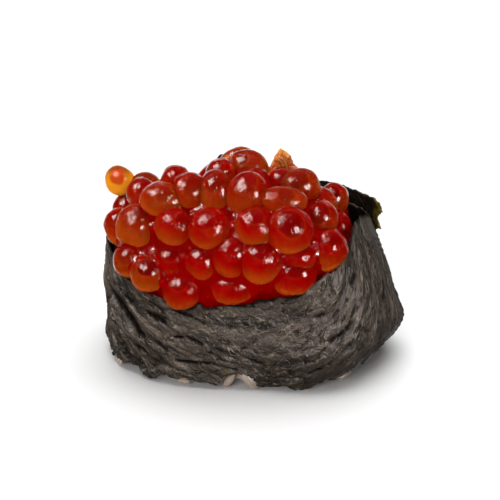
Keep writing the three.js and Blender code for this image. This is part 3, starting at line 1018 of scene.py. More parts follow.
@dataclass(frozen=True)
class NoriFinish(Finish):
    """Damp nori: grey-black, with fibre lines and olive where it is thin.

    Light is painted into its colour too: shade in its hollows and slits, along its rim and
    near its foot, and a paler sheen on its ridges.
    """

    name: str = "damp nori"
    black: Triple = (0.006, 0.0040, 0.0030)
    grey: Triple = (0.066, 0.047, 0.033)
    ridge: Triple = (0.115, 0.090, 0.068)
    fibre: Triple = (0.40, 0.29, 0.18)
    olive: Triple = (0.075, 0.055, 0.008)
    gold: Triple = (0.40, 0.262, 0.018)
    ior: float = 1.45
    roughness: float = 0.50
    under_shine: float = 0.05
    film_roughness: float = 0.5
    shine: float = 0.8
    fibres_and_painted_sheen: float = 1.0
    relief: float = 0.00026

    def dress(self, tree: Surface) -> None:
        """Adds the nodes of the nori.

        Args:
            tree: the material's tree.
        """
        flow = tree.add("UVMap", uv_map="flow").outputs[0]
        names = ("hollow", "thin", "steep", "frayed")
        hollow, thin, steep, frayed = (tree.attribute(name)["Fac"] for name in names)
        warped, curled = tree.warped(flow, 6, 2, 0.35), tree.warped(flow, 2.5, 1, 0.4)

        lines = self.lines(tree, curled, ((6, (0.2, 1, 1), 0.010), (10, (0.3, 1, 1), 0.015)))
        here = tree.band(tree.noise(flow, 7, 3), 0.42, 0.58)
        lines = tree.times(lines, here, 0.5 * self.fibres_and_painted_sheen, tree.band(hollow, 1.1, 0.5))
        slits = self.lines(tree, warped, ((8, (0.25, 1, 1), 0.05), (17, (0.35, 1, 1), 0.045)))
        slits = tree.times(slits, tree.band(tree.noise(flow, 9, 2, (1, 1.3, 1)), 0.5, 0.62))

        tone = self.grain(tree, flow, steep, (8, 3.6), (0.24, 1, 1))
        # Painted highlight: a paler sheen painted on the ridge tops, less where the grain is steep.
        high = tree.times(tree.band(hollow, 0.32, 0), 0.38 * self.fibres_and_painted_sheen, tree.line(steep, -0.6, 1))
        level = tree.add("SeparateXYZ", {0: tree.object_place()}).outputs["Z"]
        patch = tree.band(tree.noise(flow, 13, 2), 0.44, 0.60)
        lace = tree.mix(tree.band(tree.noise(flow, 24, 2), 0.42, 0.56), self.olive, self.gold)
        colour = tree.mix(tree.band(tone, 0.22, 0.62), self.black, self.grey)
        for share, layer in (
            # Painted highlight on the ridge tops.
            (high, self.ridge),
            # Painted shade: the deep hollows and the slits are painted black.
            (tree.band(hollow, 0.75, 1.5), self.black),
            (tree.times(slits, 0.85), self.black),
            (lines, self.fibre),
            # Painted shade: the lowest 9 mm are painted darker, where the wall tucks under and gets
            # less light.
            (tree.times(tree.band(level, 0.009, 0.001), 0.5), self.black),
            (tree.times(thin, patch), self.olive),
            (frayed, lace),
            (tree.times(steep, 0.25), self.black),
        ):
            colour = tree.mix(share, colour, layer)

        grain = tree.times(self.grain(tree, warped, steep, (50, 24), (0.14, 1, 1)), 0.6)
        wrinkle = self.grain(tree, warped, steep, (12, 5), (0.2, 1, 1))
        height = tree.line(lines, 0.35, tree.line(wrinkle, 3.6, grain))
        bump = tree.bump(tree.line(slits, -0.8, height), self.relief)
        sunk = tree.math("MAXIMUM", tree.band(hollow, 0.8, 1.5), tree.times(slits, 0.6))
        gloss = tree.line(sunk, -0.95 * self.shine, self.shine)
        tree.shade(
            Base_Color=colour,
            Roughness=tree.line(tree.noise(flow, 20, 2), 0.3, self.roughness - 0.15),
            Normal=bump,
            IOR=self.ior,
            Specular_IOR_Level=self.under_shine,
            Coat_Weight=tree.times(gloss, tree.line(steep, -0.4, 1)),
            Coat_Roughness=self.film_roughness,
            Coat_IOR=self.ior,
            Coat_Normal=bump,
        )

    @staticmethod
    def grain(
        tree: Tree, flow: object, steep: object, scales: tuple[float, float], stretch: Triple
    ) -> bpy.types.NodeSocket:
        """Long noise along the grain, broader where the grain runs steeply.

        Args:
            tree: the material's tree.
            flow: the coordinates along and across the grain.
            steep: where the grain is steep, from 0 to 1.
            scales: the noise's scale where the grain is level and where it is steep.
            stretch: a scale for each direction.

        Returns:
            The noise value.
        """
        level, rising = (tree.noise(flow, scale, 3, stretch) for scale in scales)
        return tree.line(tree.math("SUBTRACT", rising, level), steep, level)

    @staticmethod
    def lines(
        tree: Tree, flow: object, layers: tuple[tuple[float, Triple, float], ...]
    ) -> bpy.types.NodeSocket:
        """Thin curved lines that run with the grain.

        Args:
            tree: the material's tree.
            flow: the coordinates along and across the grain.
            layers: each layer's scale, stretch and line width.

        Returns:
            1 on a line and 0 beside it.
        """
        drawn = 0
        for scale, stretch, width in layers:
            wave = tree.noise(flow, scale, 1, stretch)
            ridge = tree.math("ABSOLUTE", tree.math("SUBTRACT", wave, 0.5))
            drawn = tree.math("MAXIMUM", drawn, tree.band(ridge, width, width * 0.25))
        return drawn


@dataclass(frozen=True)
class RiceFinish(Finish):
    """Moist pressed sushi rice, a little translucent, its grains painted darker than their own
    off-white as the shade under the nori.
    """

    name: str = "sushi rice"
    # Painted shade: both colours are far darker than off-white rice, as the rice sits in shade under
    # the nori.
    grain: Triple = (0.46, 0.38, 0.31)
    starch: Triple = (0.35, 0.27, 0.21)

    def dress(self, tree: Surface) -> None:
        """Adds the nodes of the rice.

        Args:
            tree: the material's tree.
        """
        place = tree.object_place()
        broad = tree.effect(Group.MOTTLE, Place=place, Scale=500)["Broad"]
        fine = tree.noise(place, 2600, 3)
        tree.shade(
            Base_Color=tree.mix(tree.band(broad, -0.6, 0.9), self.starch, self.grain),
            Roughness=tree.line(fine, 0.3, 0.3),
            Normal=tree.bump(fine, 0.00006, 0.5),
            IOR=1.4,
            Subsurface_Weight=0.4,
            Subsurface_Radius=(1.0, 0.8, 0.6),
            Subsurface_Scale=0.0006,
        )


# ---------------------------------------------------------------- the nori band


@dataclass(frozen=True)
class Fold:
    """One deep fold of the band: points as (angle, height), its depth and half-width."""

    points: tuple[tuple[float, float], ...]
    depth: float
    half_width: float


@dataclass(frozen=True)
class Dent:
    """A broad place where the band is drawn in, or swells out where the depth is negative.

    It is listed as its middle angle and height, its two half-widths and its depth.
    """

    degrees: float
    height: float
    half_degrees: float
    half_height: float
    depth: float

    def share(self, degrees: float, height: float) -> float:
        """How strongly a place is drawn in, from 0 to 1."""
        across = (degrees - self.degrees) / self.half_degrees
        return smooth(1 - math.hypot(across, (height - self.height) / self.half_height))


@dataclass
class NoriBand:
    """The nori strip: a thin damp sheet, creased, pitted and ragged along its edges.

    The foot's shape is rows of angle and height, the rim's is rows of angle and rise over
    the wrap's own rim, and the torn tip is an angle, a half-width and a height. The free
    end is ragged in layers of depth, waves, place and noise layer, and each tongue of its
    lace is a share of the height, a half-width and a reach.
    """

    form: WrapForm
    thickness: float = 0.34
    columns: int = 470
    rows: int = 62
    outside: float = 0.44
    slopes: tuple[float, ...] = (
        60, 66, 64, 58, 44, 22, 4, -10, -20, -32, -44, -52, -30, 5, 40, 66,
    )  # fmt: skip
    folds: tuple[Fold, ...] = (
        Fold(((-176, 22.0), (-163, 15.0), (-155, 10.5)), 0.9, 1.1),
        Fold(((-168, 12.0), (-158, 7.0), (-151, 4.5)), 0.9, 0.9),
        Fold(((-158, 22.0), (-154, 19.5), (-149.5, 16.8), (-143, 15.2)), 0.9, 0.8),
        Fold(((-155, 15.0), (-149, 13.5), (-145.5, 12.5), (-141.8, 11.3), (-137.5, 9.2)), 1.4, 1.2),
        Fold(((-134, 14.2), (-127, 13.0)), 1.0, 0.7),
        Fold(((-124, 16.0), (-115.2, 15.2), (-107.8, 13.8)), 1.0, 0.55),
        Fold(((-122, 10.4), (-116.8, 11.0), (-108.2, 9.5)), 1.0, 0.6),
        Fold(((-100.2, 9.0), (-90.0, 7.2)), 0.6, 0.6),
        Fold(((-123.2, 5.2), (-108.2, 5.5), (-100.2, 5.2), (-89.2, 4.2)), 0.8, 0.6),
        Fold(((-133.2, 9.2), (-125.8, 7.2)), 0.8, 0.7),
        Fold(((-140.5, 6.2), (-136.5, 5.6)), 0.8, 0.7),
        Fold(((-138.5, 2.6), (-135.8, 2.0)), 0.7, 0.5),
        Fold(((-85.8, 7.4), (-79.0, 6.8), (-71.2, 5.8)), 0.6, 0.6),
        Fold(((-60.5, 10.8), (-53.8, 12.6)), 0.6, 0.7),
        Fold(((-44.0, 15.5), (-39.5, 16.0)), 0.7, 0.5),
        Fold(((-39.8, 10.8), (-32.5, 12.2), (-28.2, 13.5)), 0.8, 0.7),
        Fold(((-25.8, 12.2), (-22.0, 11.0)), 0.8, 0.6),
        Fold(((-15.0, 17.5), (-18.2, 15.8), (-21.8, 14.0)), 0.7, 0.55),
        Fold(((-2.5, 17.2), (-7.2, 14.8)), 0.8, 0.6),
        Fold(((-19.2, 21.8), (-23.0, 20.6)), 0.9, 0.5),
        Fold(((-49.2, 4.2), (-45.2, 5.2)), 0.8, 0.7),
        Fold(((-55.5, 3.5), (-50.2, 2.8)), 0.8, 0.7),
    )
    foot_shape: tuple[tuple[float, float], ...] = (
        (-186, 1.4), (-176, 3.0), (-166, 3.2), (-161, 2.9), (-158, 2.2), (-153.5, 1.0),
        (-150, 1.3), (-145, 1.8), (-141.2, 1.9), (-139, 0.9), (-133.5, 0.4), (-130.5, 0.9),
        (-127.5, 1.9), (-123, 1.6),
        (-120, 1.3), (-117, 2.2), (-114.5, 1.8), (-110, 1.3), (-105, 1.1), (-99.5, 0.9),
        (-97.5, 1.9), (-95.5, 3.0), (-93.2, 3.2), (-88.5, 3.6), (-86, 3.4), (-83.5, 2.4),
        (-80, 1.4), (-77.2, 1.0), (-72, 0.8), (-66, 0.9), (-59.8, 1.2), (-56, 0.5), (-52, 0.1),
        (-48, 0.6), (-44.2, 1.5), (-38, 1.9), (-33, 2.3), (-31.2, 2.6), (-28, 3.0), (-24, 2.8),
        (-20, 2.2), (-12, 1.5),
    )  # fmt: skip
    rim_shape: tuple[tuple[float, float], ...] = (
        (-175, 0), (-172, -1.2), (-166, 0), (-150, -0.5), (-144, 0), (-134, 0.2), (-129.5, 1.2),
        (-126.5, 0.6), (-123, 0), (-117, -0.3), (-114, 0.5), (-111.5, 1.2), (-108, 0.4),
        (-92, 0.2), (-80, 0), (-73, 0.5), (-64, 0.6), (-49, 0.5), (-44, 1.2), (-34, 1.5),
        (-24, 1.1), (-19, 1.2), (-14, 2.2), (-5, 2.2), (4, 1.0), (8, 1.2), (18, 2.4),
    )  # fmt: skip
    dents: tuple[Dent, ...] = (
        Dent(-14, 6.0, 26, 6.0, 2.4), Dent(-167, 7, 14, 9, 0.8), Dent(12, 23, 34, 11, -1.5),
        Dent(-165, 4.5, 12, 4.5, -0.6),
    )  # fmt: skip
    cling: float = 0.3
    off_ground: float = 0.02
    mm_per_degree: float = 0.42
    notch: float = -97
    torn_rim: float = -109
    torn_tip: Triple = (-239, 9, 4.0)
    tail_torn: float = 5
    tail_ragged: tuple[tuple[float, float, float, float], ...] = (
        (1.6, 9, 3.3, 7), (1.4, 30, 1.3, 4), (1.1, 67, 5.1, 9),
    )  # fmt: skip
    lace: tuple[Triple, ...] = ((0.94, 0.05, 3.4), (0.765, 0.06, 5.2))

    def flow_map(self) -> tuple[list[float], list[float], list[float]]:
        """The strip's angle, its length and the drift of its grain, for each column."""
        first, last = self.form.angles[0], self.form.angles[-1]
        angles = [first + (last - first) * c / self.columns for c in range(self.columns + 1)]
        lengths, drifts = [0.0], [0.0]
        for before, angle in zip(angles, angles[1:]):
            step = (self.form.point(angle, 9, 0) - self.form.point(before, 9, 0)).length
            slope = math.radians(self.form.along(self.slopes, angle))
            lengths.append(lengths[-1] - step)
            drifts.append(drifts[-1] - step * math.tan(slope))
        return angles, lengths, drifts

    def hollow(self, length: float, level: float, degrees: float, height: float) -> float:
        """How deep the surface lies: 0 on the highest sheet, 1.7 in the bottom of a deep fold.

        Args:
            length: the place along the strip's grain.
            level: the place across the grain.
            degrees: the angle round the wrap.
            height: the height above the ground.

        Returns:
            The depth, as a share.
        """
        x = length + 1.6 * perlin(length / 6, level / 5, 20.3)
        y = level + 1.3 * perlin(length / 5, level / 5, 31.7)
        broad, small = perlin(x / 6.6, y / 2.8, 1.7), perlin(x / 3.0, y / 1.2, 4.4)
        gathered = smooth(0.5 + 1.3 * perlin(x / 11, y / 7, 15.2))
        total = 0.5 + 0.75 * broad + 0.45 * small + 0.22 * perlin(x / 1.3, y / 0.55, 7.9)
        total += (0.15 + 0.35 * gathered) * smooth(1 - abs(broad) / 0.1)
        total += (0.1 + 0.2 * gathered) * smooth(1 - abs(small) / 0.12)
        for wide, tall, layer in ((3.4, 0.85, 9.1), (2.1, 0.6, 12.6)):
            slit = smooth((perlin(x / wide, y / tall, layer) - 0.14) / 0.2)
            total += 0.55 * slit * (0.2 + 0.8 * gathered)
        total += 0.3 * perlin(length / 14, height / 8, 17.5)
        streak = perlin(length / 9, level / 3.0, 22.5) + 0.5 * perlin(length / 6, level / 1.7, 25.5)
        total += 0.8 * self.steep(degrees) * streak
        total = clamp(total, 0, 0.9 + 0.6 * self.crumpled(degrees))
        for fold in self.folds:
            total += fold.depth * self.nearness(fold, degrees, height)
        return min(total, 1.7)

    @staticmethod
    def steep(degrees: float) -> float:
        """How steeply the grain sweeps up at an angle: 1 round the right end, 0 elsewhere."""
        return smooth((degrees + 50) / 28) + smooth((-285 - degrees) / 25)

    @staticmethod
    def crumpled(degrees: float) -> float:
        """How crumpled the band is at an angle: 1 round its left end, 0 elsewhere."""
        return smooth((-118 - degrees) / 20) * smooth((degrees + 200) / 15)

    def foot(self, degrees: float) -> float:
        """The height of the torn lower edge, lobed along the display side."""
        angles, heights = zip(*self.foot_shape)
        if angles[0] < degrees < angles[-1]:
            return float(np.interp(degrees, angles, heights))
        return self.form.foot(degrees)

    def rim(self, degrees: float) -> float:
        """The height of the upper edge: uneven, with a torn tip at the back and a raised end."""
        angles, heights = zip(*self.rim_shape)
        end = 0.9 * smooth((-278 - degrees) / 16) - 0.1 * smooth((-305 - degrees) / 15)
        middle, half, height = self.torn_tip
        tip = height * smooth(1 - abs(degrees - middle) / half)
        return self.form.rim(degrees) + float(np.interp(degrees, angles, heights)) + end + tip

    def rim_round(self, degrees: float) -> float:
        """The upper edge's height on the strip's first turn, at any angle."""
        first = self.form.angles[0]
        return self.rim(first - (first - degrees) % 360)

    def nearness(self, fold: Fold, degrees: float, height: float) -> float:
        """How near a place lies to a fold: 1 in its bottom, 0 outside it."""
        best, scale = math.inf, self.mm_per_degree
        here = Vector((degrees * scale, height))
        for (a, low), (b, high) in zip(fold.points, fold.points[1:]):
            start, end = Vector((a * scale, low)), Vector((b * scale, high))
            along = end - start
            share = clamp((here - start).dot(along) / along.length_squared, 0, 1)
            best = min(best, (here - start - along * share).length)
        return smooth(1 - best / fold.half_width)

    def tail_end(self, share: float) -> float:
        """By how many degrees the slanted, torn end falls short, at a share of its height."""
        ragged = sum(
            depth * perlin(share * waves, place, layer)
            for depth, waves, place, layer in self.tail_ragged
        )
        end = self.form.tail_slant * (1 - share) + ragged
        end += self.tail_torn * smooth((0.92 - share) / 0.2) * smooth(share / 0.2)
        for middle, half, reach in self.lace:
            end -= reach * smooth(1 - abs(share - middle) / half)
        return end

    def edges(self, degrees: float, length: float) -> tuple[float, float]:
        """The heights of the foot and the rim, frayed.

        Args:
            degrees: the angle round the wrap.
            length: the place along the strip.

        Returns:
            The two heights.
        """
        foot = self.foot(degrees) + 0.25 * perlin(length / 1.7, 0.4, 2)
        foot += 0.15 * perlin(length / 0.6, 0.4, 5)
        rim = self.rim(degrees) + 0.34 * perlin(length / 2.2, 8.4, 2)
        torn = 0.22 + 0.7 * smooth(1 - abs(degrees - self.torn_rim) / 9)
        return foot, rim + torn * perlin(length / 0.7, 8.4, 5)

    def relief(self, degrees: float, height: float, rim: float, hollow: float) -> float:
        """How far the outer face stands off the strip's middle surface.

        Args:
            degrees: the angle round the wrap.
            height: the height above the ground.
            rim: the rim's height there.
            hollow: how deep the place is in the sheet.

        Returns:
            The distance outwards.
        """
        crumpled = self.crumpled(degrees)
        depth = (0.5 + 0.4 * crumpled) * hollow * (0.55 + 0.55 * smooth((rim - height) / 3))
        outwards = self.outside - depth
        outwards += 0.4 * crumpled * smooth((height - 3) / 5)
        outwards += 0.15 * smooth((4 - height) / 3)
        for dent in self.dents:
            outwards -= dent.depth * dent.share(degrees, height)
        if degrees < self.form.tail_leaves:
            outwards -= self.cling * smooth((21 - height) / 8)
        return outwards

    def build(self, finish: bpy.types.Material, inner: bpy.types.Material) -> bpy.types.Object:
        """Models the strip.

        Args:
            finish: the nori's material.
            inner: the material of its inner face.

        Returns:
            The finished piece.
        """
        bpy.ops.mesh.primitive_grid_add(
            x_subdivisions=self.columns, y_subdivisions=self.rows, size=0.04, calc_uvs=True
        )
        band = added("nori_band")
        points = points_of(band)
        columns = np.rint((points[:, 0] / 40 + 0.5) * self.columns).astype(int)
        rows = np.rint((points[:, 1] / 40 + 0.5) * self.rows).astype(int)
        angles, lengths, drifts = self.flow_map()
        backwards = [-angle for angle in angles]
        placed, flows = np.empty_like(points), np.empty((len(points), 2))
        values = {name: np.empty(len(points)) for name in ("hollow", "thin", "frayed", "steep")}
        for i, (column, row) in enumerate(zip(columns, rows)):
            share, turned = row / self.rows, column / self.columns
            degrees = angles[column] + self.tail_end(share) * turned**3
            length = float(np.interp(-degrees, backwards, lengths))
            length += min(0.0, degrees - angles[-1]) * self.mm_per_degree
            foot, rim = self.edges(degrees, length)
            height = foot + (rim - foot) * share
            level = height - float(np.interp(-degrees, backwards, drifts))
            hollow = self.hollow(length, level, degrees, height)
            outwards = self.relief(degrees, height, rim, hollow)
            placed[i] = self.form.point(degrees, height, outwards)
            by_notch = 0.15 + 1.1 * smooth(1 - abs(degrees - self.notch) / 6)
            # The rim term adds a painted shadow: the nori is painted darker along its rim, under the
            # roe's edge.
            values["hollow"][i] = hollow + 0.7 * smooth(1 - (rim - height) / 0.9)
            values["thin"][i] = clamp(1 - (height - foot) / 2.4, 0, 1) * by_notch
            values["frayed"][i] = smooth((turned - 0.985) / 0.01) * smooth((share - 0.5) / 0.1)
            values["steep"][i] = self.steep(degrees)
            flows[i] = (length / 20, level / 20)
        placed[:, 2] = np.maximum(placed[:, 2], self.off_ground)
        set_points(band, placed)
        for name, column in values.items():
            store(band, name, "FLOAT", column)
        layer = band.data.uv_layers[0]
        layer.name = "flow"
        corners = np.empty(len(band.data.loops), dtype=np.int32)
        band.data.loops.foreach_get("vertex_index", corners)
        layer.data.foreach_set("uv", flows[corners].astype(np.float32).ravel())
        band.data.materials.append(finish)
        band.data.materials.append(inner)
        if self.faces_inwards(band):
            in_edit_mode(band, bpy.ops.mesh.flip_normals)
        apply_modifier(
            band,
            "SOLIDIFY",
            thickness=self.thickness * MM,
            offset=-1,
            use_rim=True,
            material_offset=1,
            material_offset_rim=0,
        )
        points = points_of(band)
        points[:, 2] = np.maximum(points[:, 2], self.off_ground)
        set_points(band, points)
        return finished(band)

    @staticmethod
    def faces_inwards(band: bpy.types.Object) -> bool:
        """Whether the sheet's faces point at the middle."""
        face = band.data.polygons[len(band.data.polygons) // 2]
        return face.normal.dot(Vector((face.center.x, face.center.y, 0))) < 0


# ---------------------------------------------------------------- the rice


@dataclass
class RiceBed:
    """Pressed rice inside the wrap: a core with whole grains over its foot and underside."""

    form: WrapForm
    top: float = 14.5
    wall_room: float = 2.4
    grain_length: float = 5.4
    grain_width: float = 2.5
    grain_height: float = 2.1
    grain_pinch: float = 0.22
    grain_bend: float = 0.05
    under_grains: int = 150
    foot_grains: int = 46
    segments: int = 120
    seen_grains: tuple[tuple[float, ...], ...] = (
        (-153, 0.7, 1.05, 85, 4, 0.8), (-119.3, 0.8, 1.1, 92, 0, 0.66),
        (-93.8, 0.9, 1.6, 90, -56, 0.72), (-80.8, 0.8, 2.1, 90, 50, 1.05),
        (-26.5, 0.5, 1.0, 85, 0, 0.66), (-196, 1.0, 1.3, 90, 4, 0.9),
    )  # fmt: skip
    clear_of_seen: float = 13
    levels: tuple[tuple[float, float], ...] = (
        (0.3, 0.0), (0.3, 0.3), (0.3, 0.6), (0.8, 0.75), (1.6, 0.85),
        (3.4, 0.955), (7, 1), (13.5, 1), (14.5, 0.94), (14.5, 0.5), (14.5, 0),
    )  # fmt: skip

    def core(self) -> bpy.types.Object:
        """The pressed body, smooth where the grains hide it."""
        rings = len(self.levels) - 1
        bpy.ops.mesh.primitive_uv_sphere_add(segments=self.segments, ring_count=rings, radius=1)
        body = added("rice_core")
        unit = points_of(body) * MM
        placed = np.empty_like(unit)
        for i, (x, y, z) in enumerate(unit):
            rank = round(rise_of(z) * rings)
            height, share = self.levels[rank]
            degrees = math.degrees(math.atan2(y, x))
            radius = (self.form.wall_radius(degrees, max(height, 2)) - self.wall_room) * share
            placed[i] = polar(radius, math.radians(degrees), height)
        set_points(body, placed)
        return body

    def model_grain(self) -> bpy.types.Object:
        """One grain, long and a little pinched at its germ end."""
        bpy.ops.mesh.primitive_ico_sphere_add(subdivisions=2, radius=0.5 * MM)
        grain = added("grain")
        points = points_of(grain)
        along = points[:, 0]
        points[:, 1:] *= (1 - self.grain_pinch * np.clip(along * 2, 0, 1) ** 2)[:, None]
        points[:, 2] -= self.grain_bend * (along * 2) ** 2
        points *= (self.grain_length, self.grain_width, self.grain_height)
        set_points(grain, points)
        return grain

    def spots(self) -> Iterable[tuple[Vector, float, float, float]]:
        """Each grain's place, heading, pitch and size."""
        random = SeededRandom(7)
        for i in range(self.under_grains):
            turn = i * GOLDEN_TURN
            degrees = math.degrees(turn)
            reach = math.sqrt((i + 0.5) / self.under_grains)
            radius = (self.form.wall_radius(degrees, 1) - 2.2) * reach
            lift = 0.75 + 1.1 * smooth((reach - 0.72) / 0.28) + 0.3 * random()
            at = Vector(polar(radius, turn, lift))
            heading = 360 * random() if reach < 0.8 else degrees + random.between(70, 110)
            yield at, heading, random.between(-9, 9), random.between(0.86, 1.08)
        for i in range(self.foot_grains):
            degrees = 360 * (i + 0.5 * random()) / self.foot_grains
            beside = (abs((degrees - seen[0] + 180) % 360 - 180) for seen in self.seen_grains)
            if min(beside) < self.clear_of_seen:
                continue
            radius = self.form.wall_radius(degrees, 1.4) - random.between(2.1, 2.9)
            at = Vector(polar(radius, math.radians(degrees), random.between(1.3, 2.2)))
            yield at, degrees + random.between(62, 118), random.between(-12, 12), 0.95
        for degrees, inset, lift, heading, pitch, size in self.seen_grains:
            radius = self.form.wall_radius(degrees, 1) - inset
            at = Vector(polar(radius, math.radians(degrees), lift))
            yield at, degrees + heading, pitch, size

    def build(self, finish: bpy.types.Material) -> bpy.types.Object:
        """Models the rice.

        Args:
            finish: its material.

        Returns:
            The finished piece.
        """
        pattern = self.model_grain()
        unit = points_of(pattern)
        parts = [self.core()]
        for number, (at, heading, pitch, size) in enumerate(self.spots()):
            grain = copy_of(pattern, f"grain_{number}")
            turn = Matrix.Rotation(math.radians(heading), 3, "Z")
            turn = turn @ Matrix.Rotation(math.radians(pitch), 3, "Y")
            points = unit * size @ np.array(turn).T + np.array(at)
            points[:, 2] = np.maximum(points[:, 2], 0.0)
            set_points(grain, points)
            parts.append(grain)
        remove(pattern)
        return finished(joined(parts, "pressed_rice"), finish)


# ---------------------------------------------------------------- the roe


@dataclass
class Egg:
    """One salmon egg: its place, its size and how its inside shows."""

    at: Vector
    breadth: float
    height: float
    slant: float
    rank: int = 1
    tone: float = 0.5
    painted_glow: float = 0.4
    spot: Vector = field(default_factory=lambda: Vector((0, 0, 1)))
    spot_size: float = 0.45
    spot_depth: float = 0.5

    def frame(self, side: DisplaySide) -> Matrix:
        """The turn that sets the egg's long sides as the display side shows them."""
        return side.as_matrix() @ Matrix.Rotation(math.radians(self.slant), 3, "Z")

    @property
    def halves(self) -> np.ndarray:
        """Half its breadth, height and depth."""
        return np.array((self.breadth, self.height, min(self.breadth, self.height))) / 2

    def reach(self, side: DisplaySide, direction: Vector) -> float:
        """How far it reaches from its middle along a direction."""
        local = np.array(self.frame(side)).T @ np.array(direction)
        return 1 / float(np.linalg.norm(local / self.halves))


@dataclass
class RoeHeap:
    """The heap of eggs, pressed against each other, with the juice between them.

    Each row of the table is one egg that shows from the display side: how far across and
    up its middle lies, its breadth, height and slant, its rank (a higher one lies in front
    and keeps its form), how rust-coloured it is, how strong the painted light on its lower
    rim is, and its oil spot: how far across and up on the egg, its size and how dark it is.
    """

    wrap: WrapForm
    heap: HeapForm
    band: NoriBand
    overhang: tuple[float, ...] = (2.6, 2.6, 2.6, 1.6)
    table: tuple[tuple[float, ...], ...] = (
        (-25.6, 22.9, 6.6, 7.4, 10, 4, 0.75, 0.2, -0.20, 0.55, 0.40, 0.6),
        (-23.7, 16.5, 6.7, 6.7, 0, 6, 0.75, 0.3, -0.30, 0.26, 0.45, 0.7),
        (-20.2, 13.9, 7.1, 7.1, 0, 9, 0.90, 0.6, -0.02, 0.39, 0.52, 1.0),
        (-13.7, 10.7, 7.5, 7.7, -20, 7, 0.15, 0.3, -0.15, 0.45, 0.40, 0.4),
        (-4.1, 11.3, 8.9, 6.5, 3, 7, 0.05, 0.5, 0.00, 0.50, 0.40, 0.3),
        (7.7, 13.2, 8.8, 6.7, 12, 9, 0.05, 0.5, 0.10, 0.45, 0.45, 0.4),
        (13.9, 18.5, 8.2, 8.6, -14, 11, 0.45, 0.5, 0.35, 0.45, 0.40, 0.7),
        (16.2, 22.7, 5.4, 6.2, 0, 4, 0.10, 0.2, 0.00, 0.40, 0.40, 0.2),
        (-25.5, 27.2, 5.4, 5.4, 0, 3, 0.20, 0.0, 0.00, 0.40, 0.50, 0.4),
        (-22.6, 22.8, 7.7, 8.7, 8, 8, 1.05, 0.4, 0.20, 0.65, 0.40, 0.5),
        (-16.0, 16.2, 6.6, 6.5, 0, 5, 0.15, 0.2, 0.00, 0.45, 0.45, 0.3),
        (-9.9, 16.3, 6.6, 6.6, 0, 6, 0.15, 0.4, -0.10, 0.45, 0.45, 0.3),
        (-4.3, 17.4, 7.1, 7.7, 0, 6, 0.05, 0.1, 0.00, 0.45, 0.45, 0.2),
        (1.4, 16.5, 7.9, 8.3, -6, 9, 0.25, 0.5, 0.00, 0.50, 0.45, 0.5),
        (8.4, 17.2, 7.0, 6.4, 0, 4, 0.10, 0.5, 0.00, 0.45, 0.45, 0.3),
        (12.9, 24.4, 6.2, 6.7, 0, 8, 0.60, 0.5, -0.23, 0.39, 0.62, 0.9),
        (15.4, 28.1, 5.8, 6.6, 0, 6, 0.95, 0.5, -0.14, 0.44, 0.50, 1.0),
        (-21.6, 29.3, 6.0, 6.2, 0, 4, 0.60, 0.2, 0.00, 0.40, 0.50, 0.8),
        (-17.4, 28.0, 8.7, 6.7, -6, 9, 1.20, 1.0, 0.00, 0.40, 0.45, 0.8),
        (-15.2, 22.9, 7.1, 6.8, 0, 6, 0.40, 0.2, 0.48, 0.30, 0.42, 0.7),
        (-8.5, 22.5, 7.5, 7.4, -20, 7, 0.32, 0.3, -0.25, 0.45, 0.45, 0.4),
        (0.3, 22.8, 7.0, 7.6, 18, 8, 0.38, 0.5, -0.05, 0.54, 0.38, 0.7),
        (6.5, 22.1, 8.7, 8.9, -10, 10, 0.22, 0.7, 0.08, 0.32, 0.50, 0.9),
        (5.3, 27.6, 9.0, 5.5, -2, 10, 1.10, 0.8, 0.20, 0.45, 0.50, 0.7),
        (8.7, 30.6, 8.0, 7.2, -10, 8, 1.05, 0.6, -0.10, 0.38, 0.50, 0.9),
        (-20.9, 31.2, 5.6, 4.7, 0, 3, 1.40, 0.9, 0.00, 0.50, 0.50, 0.8),
        (-15.0, 31.8, 5.8, 5.9, 0, 5, 0.70, 0.3, 0.00, 0.50, 0.45, 0.5),
        (-12.4, 29.5, 7.4, 7.2, 0, 5, 0.85, 0.3, 0.19, 0.32, 0.50, 0.6),
        (-7.3, 29.4, 6.1, 8.1, 0, 7, 0.90, 0.5, -0.07, 0.52, 0.50, 0.7),
        (-1.2, 28.9, 7.8, 8.1, 0, 8, 0.80, 0.4, -0.18, 0.60, 0.50, 0.8),
        (-0.9, 34.5, 7.9, 6.4, -25, 6, 1.15, 0.7, -0.38, 0.48, 0.32, 1.0),
        (-3.3, 36.0, 6.7, 4.6, 20, 4, 1.20, 0.8, 0.00, 0.50, 0.40, 0.2),
        (-6.4, 33.2, 5.7, 5.6, 30, 4, 0.70, 0.4, -0.30, 0.40, 0.50, 0.6),
        (5.3, 31.7, 5.4, 4.8, 10, 4, 0.20, 0.2, 0.00, 0.40, 0.50, 0.6),
    )
    filler_size: float = 7.0
    filler_spread: float = 0.07
    filler_outside: float = -1.8
    tucked_rank: int = 4
    filler_end: float = 15.5
    filler_low: float = 14
    filler_gap: Triple = (-10.8, 31.5, 3.0)
    filler_places: int = 700
    layers: tuple[tuple[float, float], ...] = ((0, 0.86), (1.8, 0.74))
    swelling: float = 0.12
    swell_middle: tuple[float, float] = (-4.5, 22.5)
    swell_reach: tuple[float, float] = (21, 12.5)
    behind: float = 1.2
    contact_gap: float = 0.03
    pressing: float = 0.6
    softness: float = 0.16
    dented: float = 0.07
    finely_dented: float = 0.025
    plump: float = 0.015
    rank_weight: float = 0.13
    dome_inside: float = 1.7
    voxel: float = 0.5
    fine_voxel: float = 0.4
    fillet: float = 2.2
    under_eggs: float = 0.3
    less_above: float = 1.0
    under_rim: float = 0.9
    above_rice: float = 0.35
    pool: float = 0.07
    pool_level: float = 24
    pool_end: float = -18
    plug_top: float = 19.5
    wall_room: float = 0.8
    more_room: float = 0.9
    meniscus: float = 3.5
    bulge: float = 1.0
    front_pool: float = 0.2
    drowning: float = 0.15
    eggs: list[Egg] = field(default_factory=list)

